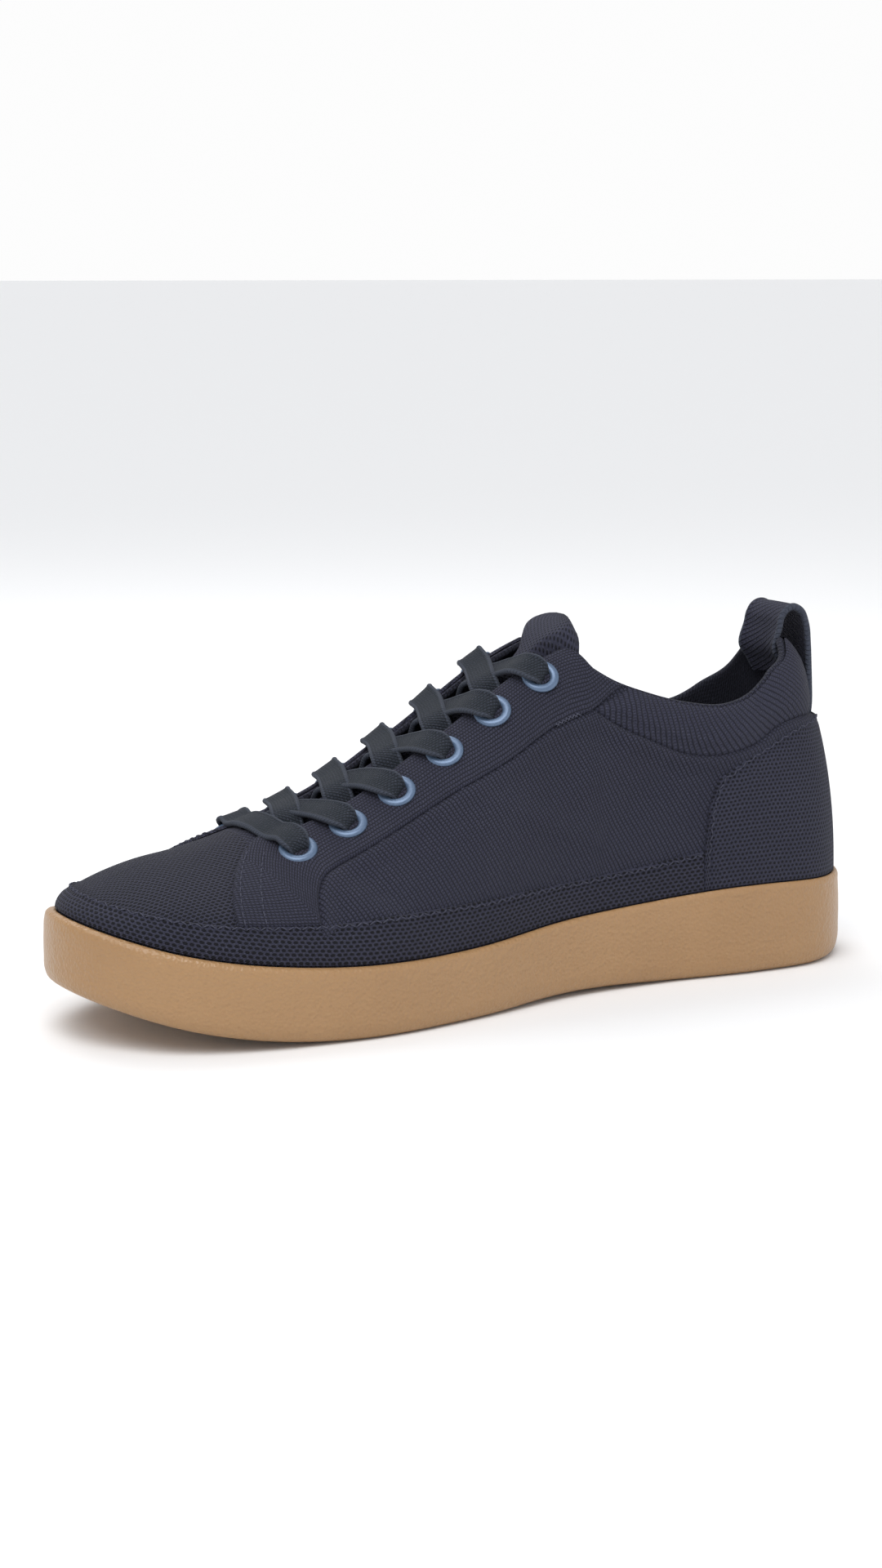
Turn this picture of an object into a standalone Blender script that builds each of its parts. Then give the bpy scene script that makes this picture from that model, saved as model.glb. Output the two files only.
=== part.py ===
"""Slip-on sneaker, right shoe, medial side towards +Y.

Units are metres. The toe points along +X, +Z is up and the tread stands on z = 0.
The origin is the centre of the heel's flat tread.
"""

from collections import namedtuple
from math import acos, asin, cos, pi, radians, sin, sqrt

import bmesh
import bpy
import numpy as np
from mathutils import Matrix, Vector

# Driving sizes
LENGTH = 0.272
BALL_WIDTH = 0.098
SOLE_HEIGHT = 0.0274
INSTEP_HEIGHT = 0.114
TOE_SPRING = 0.0150
ARCH_LIFT = 0.0012

# Wall thicknesses and clearances
CLEARANCE = 0.0003
UPPER_WALL = 0.0022
TONGUE_WALL = 0.0026
OVERLAY_WALL = 0.0008
RAISE = 0.0005
SEAM_DEPTH = 0.0003
HEEL_TUCK = 0.0024

# Sole
HEEL_CENTRE = 0.129 * LENGTH
RIM_WALL_HEEL = 0.0024
RIM_WALL_TOE = 0.0040
TREAD_INSET = 0.0050
GROOVE_DEPTH = 0.0020
GROOVE_WIDTH = 0.0030
INSOLE_THICKNESS = 0.0040

# Throat
THROAT_HALF = 0.0125
THROAT_FRONT = 0.774 * LENGTH
THROAT_BACK = 0.385 * LENGTH
HEEL_POLE = 0.140 * LENGTH
TOE_POLE = 0.860 * LENGTH

# Eyelets
EYELET_OUTER = 0.0058
EYELET_HOLE = 0.0031
EYELET_BARREL = 0.0039
EYELET_RISE = 0.0008
EYELET_SEAT = 0.0005
EYELET_SIDES = 10

# Laces
LACE_WIDTH = 0.0085
LACE_TAIL_WIDTH = 0.0042
LACE_THICKNESS = 0.0013

# Pull loop
LOOP_WIDTH = 0.021
LOOP_THICKNESS = 0.0014

STATIONS = 30
RIDGE_ROUNDING = 0.08

# Plan of the sole: shares of LENGTH along, shares of BALL_WIDTH across
Outline = namedtuple("Outline", "along medial lateral")
OUTLINE = (
    Outline(0.000, 0.000, 0.000),
    Outline(0.022, 0.178, -0.173),
    Outline(0.074, 0.294, -0.286),
    Outline(0.165, 0.323, -0.337),
    Outline(0.294, 0.307, -0.347),
    Outline(0.423, 0.337, -0.367),
    Outline(0.551, 0.438, -0.434),
    Outline(0.662, 0.503, -0.490),
    Outline(0.761, 0.508, -0.490),
    Outline(0.846, 0.485, -0.427),
    Outline(0.919, 0.418, -0.331),
    Outline(0.971, 0.284, -0.207),
    Outline(1.000, 0.051, 0.051),
)

# Side wall and cup floor of the sole above its tread: shares of SOLE_HEIGHT
Wall = namedtuple("Wall", "along rim floor")
WALLS = (
    Wall(0.00, 1.000, 0.657),
    Wall(0.20, 1.040, 0.640),
    Wall(0.40, 0.865, 0.500),
    Wall(0.60, 0.781, 0.380),
    Wall(0.80, 0.810, 0.350),
    Wall(1.00, 0.781, 0.330),
)

# Ridge of the last: height as a share of INSTEP_HEIGHT, centre as a share of BALL_WIDTH,
# how full each side of the section is and how steeply it leaves the rim
Ridge = namedtuple("Ridge", "along height centre medial lateral steep")
RIDGE = (
    Ridge(0.000, 1.026, 0.000, 1.52, 1.52, 2.00),
    Ridge(0.140, 1.026, 0.000, 2.30, 2.30, 2.00),
    Ridge(0.240, 1.020, 0.000, 3.20, 3.20, 2.00),
    Ridge(0.340, 0.978, 0.000, 3.60, 3.60, 2.00),
    Ridge(0.400, 0.932, 0.000, 3.65, 3.55, 2.00),
    Ridge(0.450, 0.878, 0.002, 3.50, 3.30, 2.00),
    Ridge(0.515, 0.786, 0.006, 2.60, 2.50, 2.00),
    Ridge(0.565, 0.712, 0.010, 2.20, 2.10, 2.00),
    Ridge(0.615, 0.649, 0.016, 1.70, 1.70, 2.00),
    Ridge(0.675, 0.572, 0.024, 1.60, 1.60, 2.00),
    Ridge(0.740, 0.520, 0.028, 1.42, 1.40, 2.00),
    Ridge(0.800, 0.477, 0.032, 1.42, 1.42, 2.05),
    Ridge(0.860, 0.444, 0.036, 1.48, 1.50, 2.15),
    Ridge(1.000, 0.444, 0.036, 1.65, 1.65, 2.30),
)
TOE_FALL = 0.14

# Collar edge and the seam under collar band and eyestay: shares of INSTEP_HEIGHT
Collar = namedtuple("Collar", "along edge_medial edge_lateral seam_medial seam_lateral")
COLLAR = (
    Collar(0.000, 0.900, 0.900, 0.700, 0.700),
    Collar(0.038, 0.908, 0.900, 0.702, 0.700),
    Collar(0.058, 0.910, 0.865, 0.705, 0.690),
    Collar(0.085, 0.870, 0.805, 0.705, 0.680),
    Collar(0.130, 0.830, 0.752, 0.686, 0.650),
    Collar(0.165, 0.775, 0.710, 0.645, 0.605),
    Collar(0.200, 0.752, 0.698, 0.625, 0.580),
    Collar(0.250, 0.762, 0.712, 0.628, 0.585),
    Collar(0.300, 0.795, 0.750, 0.672, 0.630),
    Collar(0.345, 0.838, 0.800, 0.722, 0.680),
    Collar(0.385, 0.900, 0.875, 0.785, 0.750),
)

# Lower seam of the eyestay, share of INSTEP_HEIGHT
Seam = namedtuple("Seam", "along medial lateral")
EYESTAY_SEAM = (
    Seam(0.385, 0.772, 0.735),
    Seam(0.446, 0.712, 0.690),
    Seam(0.515, 0.622, 0.605),
    Seam(0.580, 0.540, 0.525),
    Seam(0.645, 0.468, 0.458),
    Seam(0.690, 0.420, 0.412),
    Seam(0.725, 0.380, 0.375),
    Seam(0.742, 0.310, 0.310),
    Seam(1.000, 0.310, 0.310),
)
VAMP_SEAM = 0.812 * LENGTH

# Height of the mudguard's upper edge, measured up the upper from the sole rim, as a
# share of SOLE_HEIGHT
Guard = namedtuple("Guard", "along height")
MUDGUARD = (
    Guard(0.000, 0.325),
    Guard(0.240, 0.325),
    Guard(0.400, 0.320),
    Guard(0.550, 0.365),
    Guard(0.700, 0.410),
    Guard(1.000, 0.400),
)

# Upper edge of the heel counter: shares of INSTEP_HEIGHT
Counter = namedtuple("Counter", "along edge")
COUNTER = (
    Counter(0.000, 0.690),
    Counter(0.050, 0.690),
    Counter(0.100, 0.675),
    Counter(0.150, 0.635),
    Counter(0.200, 0.575),
    Counter(0.222, 0.525),
    Counter(0.232, 0.440),
    Counter(0.238, 0.310),
)
COUNTER_FRONT = 0.238 * LENGTH

# Eyelet pairs: shares of LENGTH along, share of BALL_WIDTH from the ridge
EYELET_FIRST = 0.743 * LENGTH
EYELET_LAST = 0.434 * LENGTH
EYELET_PAIRS = 6
EYELET_OUT_FIRST = 0.215 * BALL_WIDTH
EYELET_OUT_LAST = 0.177 * BALL_WIDTH
EYELET_SHIFT = 0.012 * LENGTH

# Tongue: middle and wing heights over the last, half width and rearward sweep of the
# wings, all as shares of THROAT_HALF; crown is how far the raised middle spreads
Tongue = namedtuple("Tongue", "along middle wing half sweep crown")
TONGUE = (
    Tongue(0.380, 0.43, -0.14, 1.18, 0.30, 0.88),
    Tongue(0.390, 0.34, -0.28, 1.26, 0.24, 0.74),
    Tongue(0.402, 0.20, -0.38, 1.38, 0.14, 0.58),
    Tongue(0.418, 0.04, -0.44, 1.50, 0.06, 0.52),
    Tongue(0.436, -0.10, -0.44, 1.55, 0.02, 0.46),
    Tongue(0.500, -0.16, -0.44, 1.60, 0.00, 0.43),
    Tongue(0.720, -0.20, -0.46, 1.65, 0.00, 0.43),
    Tongue(0.790, -0.46, -0.46, 1.70, 0.00, 0.43),
)
TONGUE_STEPS = 15

# Lace coming up out of an eyelet: shares of EYELET_OUTER away from and above its centre,
# lean of the face in degrees and how far the strip has spread
Rise = namedtuple("Rise", "out lift lean width")
LACE_RISE = (
    Rise(-0.14, -0.28, 90, 0.00),
    Rise(-0.14, 0.12, 85, 0.00),
    Rise(0.02, 0.38, 45, 0.15),
    Rise(0.36, 0.49, 10, 0.45),
    Rise(0.86, 0.46, 0, 0.90),
)

# Lace from eyelet to tuck: share of the way, height over the eyestay as a share of
# THROAT_HALF and how much of the crossing's height applies
Path = namedtuple("Path", "part lift crossing")
LACE_PATH = (
    Path(0.34, 0.06, 0.5),
    Path(0.45, 0.01, 0.9),
    Path(0.55, 0.00, 1.0),
    Path(0.64, 0.00, 0.9),
    Path(0.72, -0.04, 0.3),
    Path(0.79, -0.20, 0.0),
    Path(0.85, -0.34, 0.0),
    Path(1.00, -0.34, 0.0),
)
TUCK_REACH = 1.28
TUCK_AHEAD = 0.90
BAR_BOW = 0.0030

# Pull loop: heights inside and outside the collar and the free arch between them, as
# shares of INSTEP_HEIGHT; bow is how much the strap's face is rounded and tuck the share
# of HEEL_TUCK that the outer leg follows
LOOP_INSIDE = (0.840, 0.880, 0.915)
Arch = namedtuple("Arch", "out height bow")
LOOP_OVER = (
    Arch(0.212, 0.945, 0.70),
    Arch(0.212, 0.968, 0.45),
    Arch(0.200, 0.990, 0.30),
    Arch(0.176, 0.999, 0.25),
    Arch(0.150, 0.986, 0.25),
    Arch(0.132, 0.950, 0.30),
    Arch(0.122, 0.890, 0.40),
    Arch(0.116, 0.830, 0.50),
    Arch(0.110, 0.775, 0.65),
)
Leg = namedtuple("Leg", "height tuck")
LOOP_OUTSIDE = (
    Leg(0.742, 0.55),
    Leg(0.716, 0.80),
)

# Tread grooves, shares of LENGTH
GROOVES = (0.045, 0.085, 0.175, 0.215, 0.520, 0.560, 0.600, 0.715, 0.755, 0.795, 0.835)


def tangents(xs, ys):
    """Slopes of a smooth curve through a table, one per row."""
    slopes = []
    for i in range(len(xs)):
        if i == 0:
            slopes.append((ys[1] - ys[0]) / (xs[1] - xs[0]))
        elif i == len(xs) - 1:
            slopes.append((ys[-1] - ys[-2]) / (xs[-1] - xs[-2]))
        else:
            before = (ys[i] - ys[i - 1]) / (xs[i] - xs[i - 1])
            after = (ys[i + 1] - ys[i]) / (xs[i + 1] - xs[i])
            reach_before = xs[i] - xs[i - 1]
            reach_after = xs[i + 1] - xs[i]
            slopes.append((before * reach_after + after * reach_before) / (reach_before + reach_after))
    return slopes


def smooth(xs, ys, x):
    """Value at x of the smooth curve through the table."""
    slopes = tangents(xs, ys)
    x = min(max(x, xs[0]), xs[-1])
    i = 0
    while i < len(xs) - 2 and x > xs[i + 1]:
        i += 1
    step = xs[i + 1] - xs[i]
    t = (x - xs[i]) / step
    start = (2 * t**3 - 3 * t**2 + 1) * ys[i] + (t**3 - 2 * t**2 + t) * step * slopes[i]
    end = (-2 * t**3 + 3 * t**2) * ys[i + 1] + (t**3 - t**2) * step * slopes[i + 1]
    return start + end


def read_table(table, column, along):
    """Value of a named column at a share of the length."""
    xs = [row.along for row in table]
    ys = [getattr(row, column) for row in table]
    return smooth(xs, ys, along)


def angle_of(along):
    """Turn a share of the length into the station measure, which is fine at both ends."""
    return acos(1 - 2 * along) / pi


def share_of(station):
    """Share of the length at a station measure from -1 to 1."""
    return (1 - cos(pi * station)) / 2


OUTLINE_ANGLES = [angle_of(row.along) for row in OUTLINE]
OUTLINE_MEDIAL = [row.medial for row in OUTLINE]
OUTLINE_LATERAL = [row.lateral for row in OUTLINE]


def outline(station):
    """Point of the sole's plan; stations above 0 are medial, below 0 lateral."""
    if station > 1:
        station -= 2
    if station < -1:
        station += 2
    column = OUTLINE_MEDIAL if station >= 0 else OUTLINE_LATERAL
    across = smooth(OUTLINE_ANGLES, column, abs(station)) * BALL_WIDTH
    return np.array([share_of(station) * LENGTH, across])


def outward(station):
    """Unit vector out of the sole's plan at a station."""
    step = 0.004
    along = outline(station + step) - outline(station - step)
    normal = np.array([-along[1], along[0]])
    return normal / np.linalg.norm(normal)


def inset(station, distance):
    """Point of the plan moved inwards by a distance."""
    return outline(station) - outward(station) * distance


def tread_height(along):
    """Underside of the sole: flat heel, slight arch, flat ball and toe spring."""
    lift = 0.0
    if along > 0.68:
        lift += TOE_SPRING * ((along - 0.68) / 0.32) ** 2.1
    if 0.23 < along < 0.57:
        lift += ARCH_LIFT * sin(pi * (along - 0.23) / 0.34) ** 2
    return lift


def rim_height(along):
    """Top of the sole's side wall."""
    return tread_height(along) + read_table(WALLS, "rim", along) * SOLE_HEIGHT


def floor_height(along):
    """Cup floor on which insole and upper stand."""
    return tread_height(along) + read_table(WALLS, "floor", along) * SOLE_HEIGHT


def rim_wall(along):
    """Thickness of the sole's side wall at its rim."""
    return RIM_WALL_HEEL + (RIM_WALL_TOE - RIM_WALL_HEEL) * min(max((along - 0.2) / 0.6, 0), 1)


def ridge_at(x):
    """Ridge point of the last at a distance from the heel back."""
    x = min(max(x, HEEL_POLE), TOE_POLE)
    along = x / LENGTH
    across = read_table(RIDGE, "centre", along) * BALL_WIDTH
    height = read_table(RIDGE, "height", along) * INSTEP_HEIGHT
    return np.array([x, across, height])


Section = namedtuple("Section", "foot ridge full steep")


def section(station):
    """Foot point, ridge point and shape of the upper's section at a station."""
    along = share_of(station)
    foot = inset(station, rim_wall(along) + CLEARANCE)
    foot = np.array([foot[0], foot[1], rim_height(along)])
    side = "medial" if station >= 0 else "lateral"
    full = read_table(RIDGE, side, along)
    return Section(foot, ridge_at(foot[0]), full, read_table(RIDGE, "steep", along))


def soften(ratio):
    """Share of the half width, flattened near the ridge so that it has no crease."""
    reach = sqrt(1 + RIDGE_ROUNDING**2) - RIDGE_ROUNDING
    return (sqrt(ratio**2 + RIDGE_ROUNDING**2) - RIDGE_ROUNDING) / reach


def unsoften(ratio):
    """Inverse of soften."""
    reach = sqrt(1 + RIDGE_ROUNDING**2) - RIDGE_ROUNDING
    return sqrt(max((ratio * reach + RIDGE_ROUNDING) ** 2 - RIDGE_ROUNDING**2, 0))


def upper_point(station, rise):
    """Point of the last at a station; rise runs from 0 at the rim to 1 at the ridge."""
    cut = section(station)
    turn = rise * pi / 2
    ratio = unsoften(max(cos(turn), 0) ** (2 / cut.full))
    point = cut.ridge + (cut.foot - cut.ridge) * ratio
    top = cut.ridge[2] - TOE_FALL * max(point[0] - TOE_POLE, 0)
    point[2] = cut.foot[2] + (top - cut.foot[2]) * sin(turn) ** (2 / cut.steep)
    return point


def rise_at_height(station, height):
    """Rise at which the section reaches a height."""
    cut = section(station)
    share = (height - cut.foot[2]) / (cut.ridge[2] - cut.foot[2])
    return asin(min(max(share, 0), 1) ** (cut.steep / 2)) * 2 / pi


def rise_at_half(station, half):
    """Rise at which the section comes within a distance of the ridge, seen in plan."""
    cut = section(station)
    width = np.linalg.norm((cut.foot - cut.ridge)[:2])
    ratio = soften(min(half / width, 1))
    return acos(min(ratio ** (cut.full / 2), 1)) * 2 / pi


def rise_at_length(station, length):
    """Rise at which the section has run a length up from the rim."""
    before = upper_point(station, 0)
    run = 0.0
    steps = 60
    for i in range(1, steps + 1):
        after = upper_point(station, i / steps)
        part = np.linalg.norm(after - before)
        if run + part >= length:
            return (i - 1 + (length - run) / part) / steps
        run += part
        before = after
    return 1.0


def upper_normal(station, rise):
    """Outward unit normal of the last."""
    step = 0.004
    rise = min(max(rise, step), 1 - 3 * step)
    around = upper_point(station + step, rise) - upper_point(station - step, rise)
    up = upper_point(station, rise + step) - upper_point(station, rise - step)
    normal = np.cross(up, around)
    return normal / np.linalg.norm(normal)


def throat_half(x):
    """Half width of the open throat, rounded off at its front."""
    ahead = THROAT_FRONT - x
    if ahead <= 0:
        return 0.0
    radius = 0.8 * THROAT_HALF
    if ahead < radius:
        return THROAT_HALF * sqrt(1 - (1 - ahead / radius) ** 2)
    return THROAT_HALF


def edge_rise(station):
    """Rise of the upper's free edge at collar and throat, 1 where the upper is closed."""
    x = section(station).foot[0]
    side = "medial" if station >= 0 else "lateral"
    if x <= THROAT_BACK:
        height = read_table(COLLAR, "edge_" + side, x / LENGTH) * INSTEP_HEIGHT
        return rise_at_height(station, height)
    half = throat_half(x)
    if half <= 0:
        return 1.0
    return rise_at_half(station, half)


def seam_rise(station):
    """Rise of the seam under collar band and eyestay."""
    x = section(station).foot[0]
    side = "medial" if station >= 0 else "lateral"
    if x <= THROAT_BACK:
        height = read_table(COLLAR, "seam_" + side, x / LENGTH) * INSTEP_HEIGHT
    else:
        height = read_table(EYESTAY_SEAM, side, x / LENGTH) * INSTEP_HEIGHT
    return rise_at_height(station, height)


def station_list():
    """Stations from heel back to toe tip, with extra ones at the throat's front."""
    stations = [k / STATIONS for k in range(STATIONS + 1)]
    extra = (
        THROAT_FRONT,
        THROAT_FRONT - 0.15 * THROAT_HALF,
        THROAT_FRONT - 0.8 * THROAT_HALF,
        VAMP_SEAM - UPPER_WALL,
        VAMP_SEAM,
    )
    for x in extra:
        wanted = angle_of(x / LENGTH)
        nearest = min(stations, key=lambda s: abs(s - wanted))
        if abs(nearest - wanted) < 0.3 / STATIONS and nearest != 0:
            stations.remove(nearest)
        stations.append(wanted)
    return sorted(stations)


STATION = station_list()
RING = STATION + [-s for s in reversed(STATION[1:-1])]


def place(point):
    """Move a point from heel-back measure to the part's origin."""
    return Vector((point[0] - HEEL_CENTRE, point[1], point[2]))


def add_mesh(name, bm, colour, roughness, metallic=0.0, smooth_faces=True):
    """Turn a bmesh into a named object with its own material."""
    bmesh.ops.recalc_face_normals(bm, faces=bm.faces[:])
    mesh = bpy.data.meshes.new(name)
    bm.to_mesh(mesh)
    bm.free()
    for polygon in mesh.polygons:
        polygon.use_smooth = smooth_faces
    obj = bpy.data.objects.new(name, mesh)
    bpy.context.scene.collection.objects.link(obj)
    material = bpy.data.materials.new(name)
    material.use_nodes = True
    shader = material.node_tree.nodes["Principled BSDF"]
    shader.inputs["Base Color"].default_value = (*colour, 1.0)
    shader.inputs["Roughness"].default_value = roughness
    shader.inputs["Metallic"].default_value = metallic
    mesh.materials.append(material)
    return obj


def ring_faces(bm, lower, upper, closed=True):
    """Quads between two rows of vertices."""
    count = len(lower)
    last = count if closed else count - 1
    for j in range(last):
        after = (j + 1) % count
        corners = []
        for vert in (lower[j], lower[after], upper[after], upper[j]):
            if vert not in corners:
                corners.append(vert)
        if len(corners) > 2:
            bm.faces.new(corners)


def ladder_faces(bm, ring):
    """Close a ring of station vertices with rungs from medial to lateral side."""
    count = len(STATION)
    bm.faces.new([ring[0], ring[1], ring[-1]])
    for k in range(1, count - 2):
        bm.faces.new([ring[k], ring[k + 1], ring[-k - 1], ring[-k]])
    bm.faces.new([ring[count - 2], ring[count - 1], ring[-(count - 2)]])


def build_outsole():
    """Cupsole: flat tread, rounded foot, bulged side wall, rounded rim, cup floor."""
    bm = bmesh.new()
    rings = []
    for level in range(12):
        ring = []
        for station in RING:
            along = share_of(station)
            tread = tread_height(along)
            rim = rim_height(along)
            wall = rim - tread
            cup = rim_wall(along)
            depth, height = (
                (TREAD_INSET, tread),
                (0.52 * TREAD_INSET, tread + 0.016 * wall),
                (0.20 * TREAD_INSET, tread + 0.065 * wall),
                (0.05 * TREAD_INSET, tread + 0.150 * wall),
                (0.0, tread + 0.380 * wall),
                (0.02 * TREAD_INSET, tread + 0.700 * wall),
                (0.08 * TREAD_INSET, tread + 0.900 * wall),
                (0.25 * cup, tread + 0.965 * wall),
                (0.50 * cup, rim),
                (0.88 * cup, rim),
                (cup, tread + 0.985 * wall),
                (cup, floor_height(along)),
            )[level]
            point = inset(station, depth)
            ring.append(bm.verts.new(place((point[0], point[1], height))))
        rings.append(ring)
    for lower, upper in zip(rings, rings[1:]):
        ring_faces(bm, lower, upper)
    ladder_faces(bm, rings[0])
    ladder_faces(bm, rings[-1])
    sole = add_mesh("outsole", bm, (0.39, 0.24, 0.13), 0.45)
    cutter = bmesh.new()
    for share in GROOVES:
        station = angle_of(share)
        medial = inset(station, 2.2 * TREAD_INSET)
        lateral = inset(-station, 2.2 * TREAD_INSET)
        base = tread_height(share)
        size = Vector((GROOVE_WIDTH, medial[1] - lateral[1], 2 * GROOVE_DEPTH))
        centre = place((share * LENGTH, (medial[1] + lateral[1]) / 2, base))
        matrix = Matrix.Translation(centre) @ Matrix.Diagonal((*size, 1.0))
        bmesh.ops.create_cube(cutter, size=1.0, matrix=matrix)
    cut_away(sole, "outsole_grooves", cutter)


def cut_away(obj, name, cutter):
    """Cut a helper mesh out of an object."""
    mesh = bpy.data.meshes.new(name)
    cutter.to_mesh(mesh)
    cutter.free()
    helper = bpy.data.objects.new(name, mesh)
    bpy.context.scene.collection.objects.link(helper)
    helper.hide_render = True
    helper.display_type = "WIRE"
    modifier = obj.modifiers.new(name, "BOOLEAN")
    modifier.operation = "DIFFERENCE"
    modifier.solver = "EXACT"
    modifier.object = helper


def build_insole():
    """Sock lying on the cup floor, inside the foot of the upper."""
    bm = bmesh.new()
    rings = []
    for level in range(4):
        ring = []
        for station in RING:
            along = share_of(station)
            side = rim_wall(along) + 2 * CLEARANCE + UPPER_WALL
            floor = floor_height(along) + CLEARANCE
            depth, height = (
                (side + 0.0006, floor),
                (side, floor + 0.0006),
                (side, floor + 0.75 * INSOLE_THICKNESS),
                (side + 0.35 * INSOLE_THICKNESS, floor + INSOLE_THICKNESS),
            )[level]
            point = inset(station, depth)
            ring.append(bm.verts.new(place((point[0], point[1], height))))
        rings.append(ring)
    for lower, upper in zip(rings, rings[1:]):
        ring_faces(bm, lower, upper)
    ladder_faces(bm, rings[0])
    ladder_faces(bm, rings[-1])
    add_mesh("insole", bm, (0.03, 0.03, 0.05), 0.9)


def guard_rise(station):
    """Rise of the mudguard's upper edge."""
    return rise_at_length(station, read_table(MUDGUARD, "height", share_of(station)) * SOLE_HEIGHT)


def upper_rows(station):
    """Rise and outward offset of each row of the upper's outside at a station."""
    x = section(station).foot[0]
    edge = edge_rise(station)
    mud = min(guard_rise(station), 0.5 * edge)
    raised = x < VAMP_SEAM
    if raised:
        seam = min(max(seam_rise(station), mud + 0.08 * (edge - mud)), mud + 0.75 * (edge - mud))
    else:
        ahead = min((x - VAMP_SEAM) / THROAT_HALF, 1)
        seam = mud + (0.08 + 0.27 * ahead) * (edge - mud)
    band = min(0.025, 0.06 * (edge - mud), 0.2 * (edge - seam))
    step = RAISE if raised else 0.0
    tuck = HEEL_TUCK * max(1 - x / HEEL_POLE, 0) ** 2
    rows = [(0.0, 0.0), (0.5 * mud, 0.0), (mud, 0.0)]
    for part in (0.33, 0.67):
        rows.append((mud + part * (seam - band - mud), 0.0))
    rows.append((seam - band, 0.0))
    rows.append((seam, -SEAM_DEPTH - tuck if raised else 0.0))
    rows.append((seam + band, step - tuck))
    rows.append((0.65 * (seam + band) + 0.35 * edge, step - 0.5 * tuck))
    rows.append((0.3 * (seam + band) + 0.7 * edge, step))
    rows.append((edge, step))
    return rows


def build_upper():
    """Hollow knit shell from one section function, open at collar, throat and foot."""
    bm = bmesh.new()
    columns = []
    for station in RING:
        along = share_of(station)
        column = []
        foot = section(station).foot
        column.append(bm.verts.new(place((foot[0], foot[1], floor_height(along) + CLEARANCE))))
        for rise, offset in upper_rows(station):
            point = upper_point(station, rise)
            if offset:
                point = point + upper_normal(station, rise) * offset
            column.append(bm.verts.new(place(point)))
        columns.append(column)
    rows = len(columns[0])
    for j in range(len(columns)):
        after = columns[(j + 1) % len(columns)]
        for i in range(rows - 1):
            bm.faces.new([columns[j][i], after[i], after[i + 1], columns[j][i + 1]])
    bmesh.ops.remove_doubles(bm, verts=bm.verts[:], dist=1e-6)
    bmesh.ops.recalc_face_normals(bm, faces=bm.faces[:])
    bm.normal_update()
    outer_faces = bm.faces[:]
    inner_of = {}
    for vert in bm.verts[:]:
        inner_of[vert] = bm.verts.new(vert.co - vert.normal * UPPER_WALL)
    boundary = [edge for edge in bm.edges if len(edge.link_faces) == 1]
    for face in outer_faces:
        bm.faces.new([inner_of[vert] for vert in reversed(face.verts)])
    ridge_of = {}
    for edge in boundary:
        for vert in edge.verts:
            if vert in ridge_of or vert.co.z < 0.040 and vert.co.z < rim_limit(vert.co.x):
                continue
            ridge_of[vert] = None
    for vert in list(ridge_of):
        near = [e.other_vert(vert) for e in vert.link_edges if len(e.link_faces) == 2]
        inside = [v for v in near if v in inner_of]
        away = Vector((0, 0, 0))
        for other in inside:
            away += (vert.co - other.co).normalized()
        away = away.normalized() if away.length > 0 else Vector((0, 0, 1))
        middle = (vert.co + inner_of[vert].co) / 2
        ridge_of[vert] = bm.verts.new(middle + away * 0.4 * UPPER_WALL)
    for edge in boundary:
        face = edge.link_faces[0]
        a, b = edge.verts
        if a in ridge_of and b in ridge_of:
            bm.faces.new([a, b, ridge_of[b], ridge_of[a]])
            bm.faces.new([ridge_of[a], ridge_of[b], inner_of[b], inner_of[a]])
        else:
            bm.faces.new([a, b, inner_of[b], inner_of[a]])
    upper = add_mesh("upper", bm, (0.030, 0.032, 0.055), 0.85)
    cutter = bmesh.new()
    for side in (1, -1):
        for pair in range(EYELET_PAIRS):
            point, normal, along = eyelet_seat(side, pair)
            frame = frame_from(normal, along)
            frame.translation = place(point)
            bmesh.ops.create_cone(
                cutter,
                cap_ends=True,
                segments=EYELET_SIDES,
                radius1=EYELET_BARREL + CLEARANCE,
                radius2=EYELET_BARREL + CLEARANCE,
                depth=4 * UPPER_WALL,
                matrix=frame,
            )
    cut_away(upper, "eyelet_holes", cutter)


def rim_limit(x):
    """Height below which an open edge of the upper is its foot."""
    along = min(max((x + HEEL_CENTRE) / LENGTH, 0), 1)
    return rim_height(along) - 0.001


def frame_from(normal, along):
    """Rotation whose Z is the normal and whose X follows a direction."""
    z = Vector(normal).normalized()
    y = z.cross(Vector(along)).normalized()
    x = y.cross(z)
    return Matrix((x, y, z)).transposed().to_4x4()


def surface_at(x, y):
    """Point, normal and station of the last above a point of the plan, behind the toe pole."""
    ridge = ridge_at(x)
    side = 1 if y >= ridge[1] else -1
    station = side * angle_of(min(x / LENGTH, 1))
    for turn in range(6):
        foot = section(station).foot
        station += side * 0.8 * (x - foot[0]) / (LENGTH * pi / 2 * max(sin(pi * abs(station)), 0.2))
    rise = rise_at_half(station, abs(y - ridge[1]))
    return upper_point(station, rise), upper_normal(station, rise), station


def eyelet_x(pair):
    """Distance of an eyelet pair from the heel back."""
    return EYELET_FIRST + (EYELET_LAST - EYELET_FIRST) * pair / (EYELET_PAIRS - 1)


def eyelet_seat(side, pair):
    """Centre, normal and direction of an eyelet on the raised eyestay."""
    x = eyelet_x(pair) + (EYELET_SHIFT if side < 0 else 0)
    out = EYELET_OUT_FIRST + (EYELET_OUT_LAST - EYELET_OUT_FIRST) * pair / (EYELET_PAIRS - 1)
    y = ridge_at(x)[1] + side * out
    point, normal, station = surface_at(x, y)
    ahead = surface_at(x + 0.002, y)[0] - surface_at(x - 0.002, y)[0]
    return point + normal * RAISE, normal, ahead


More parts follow.
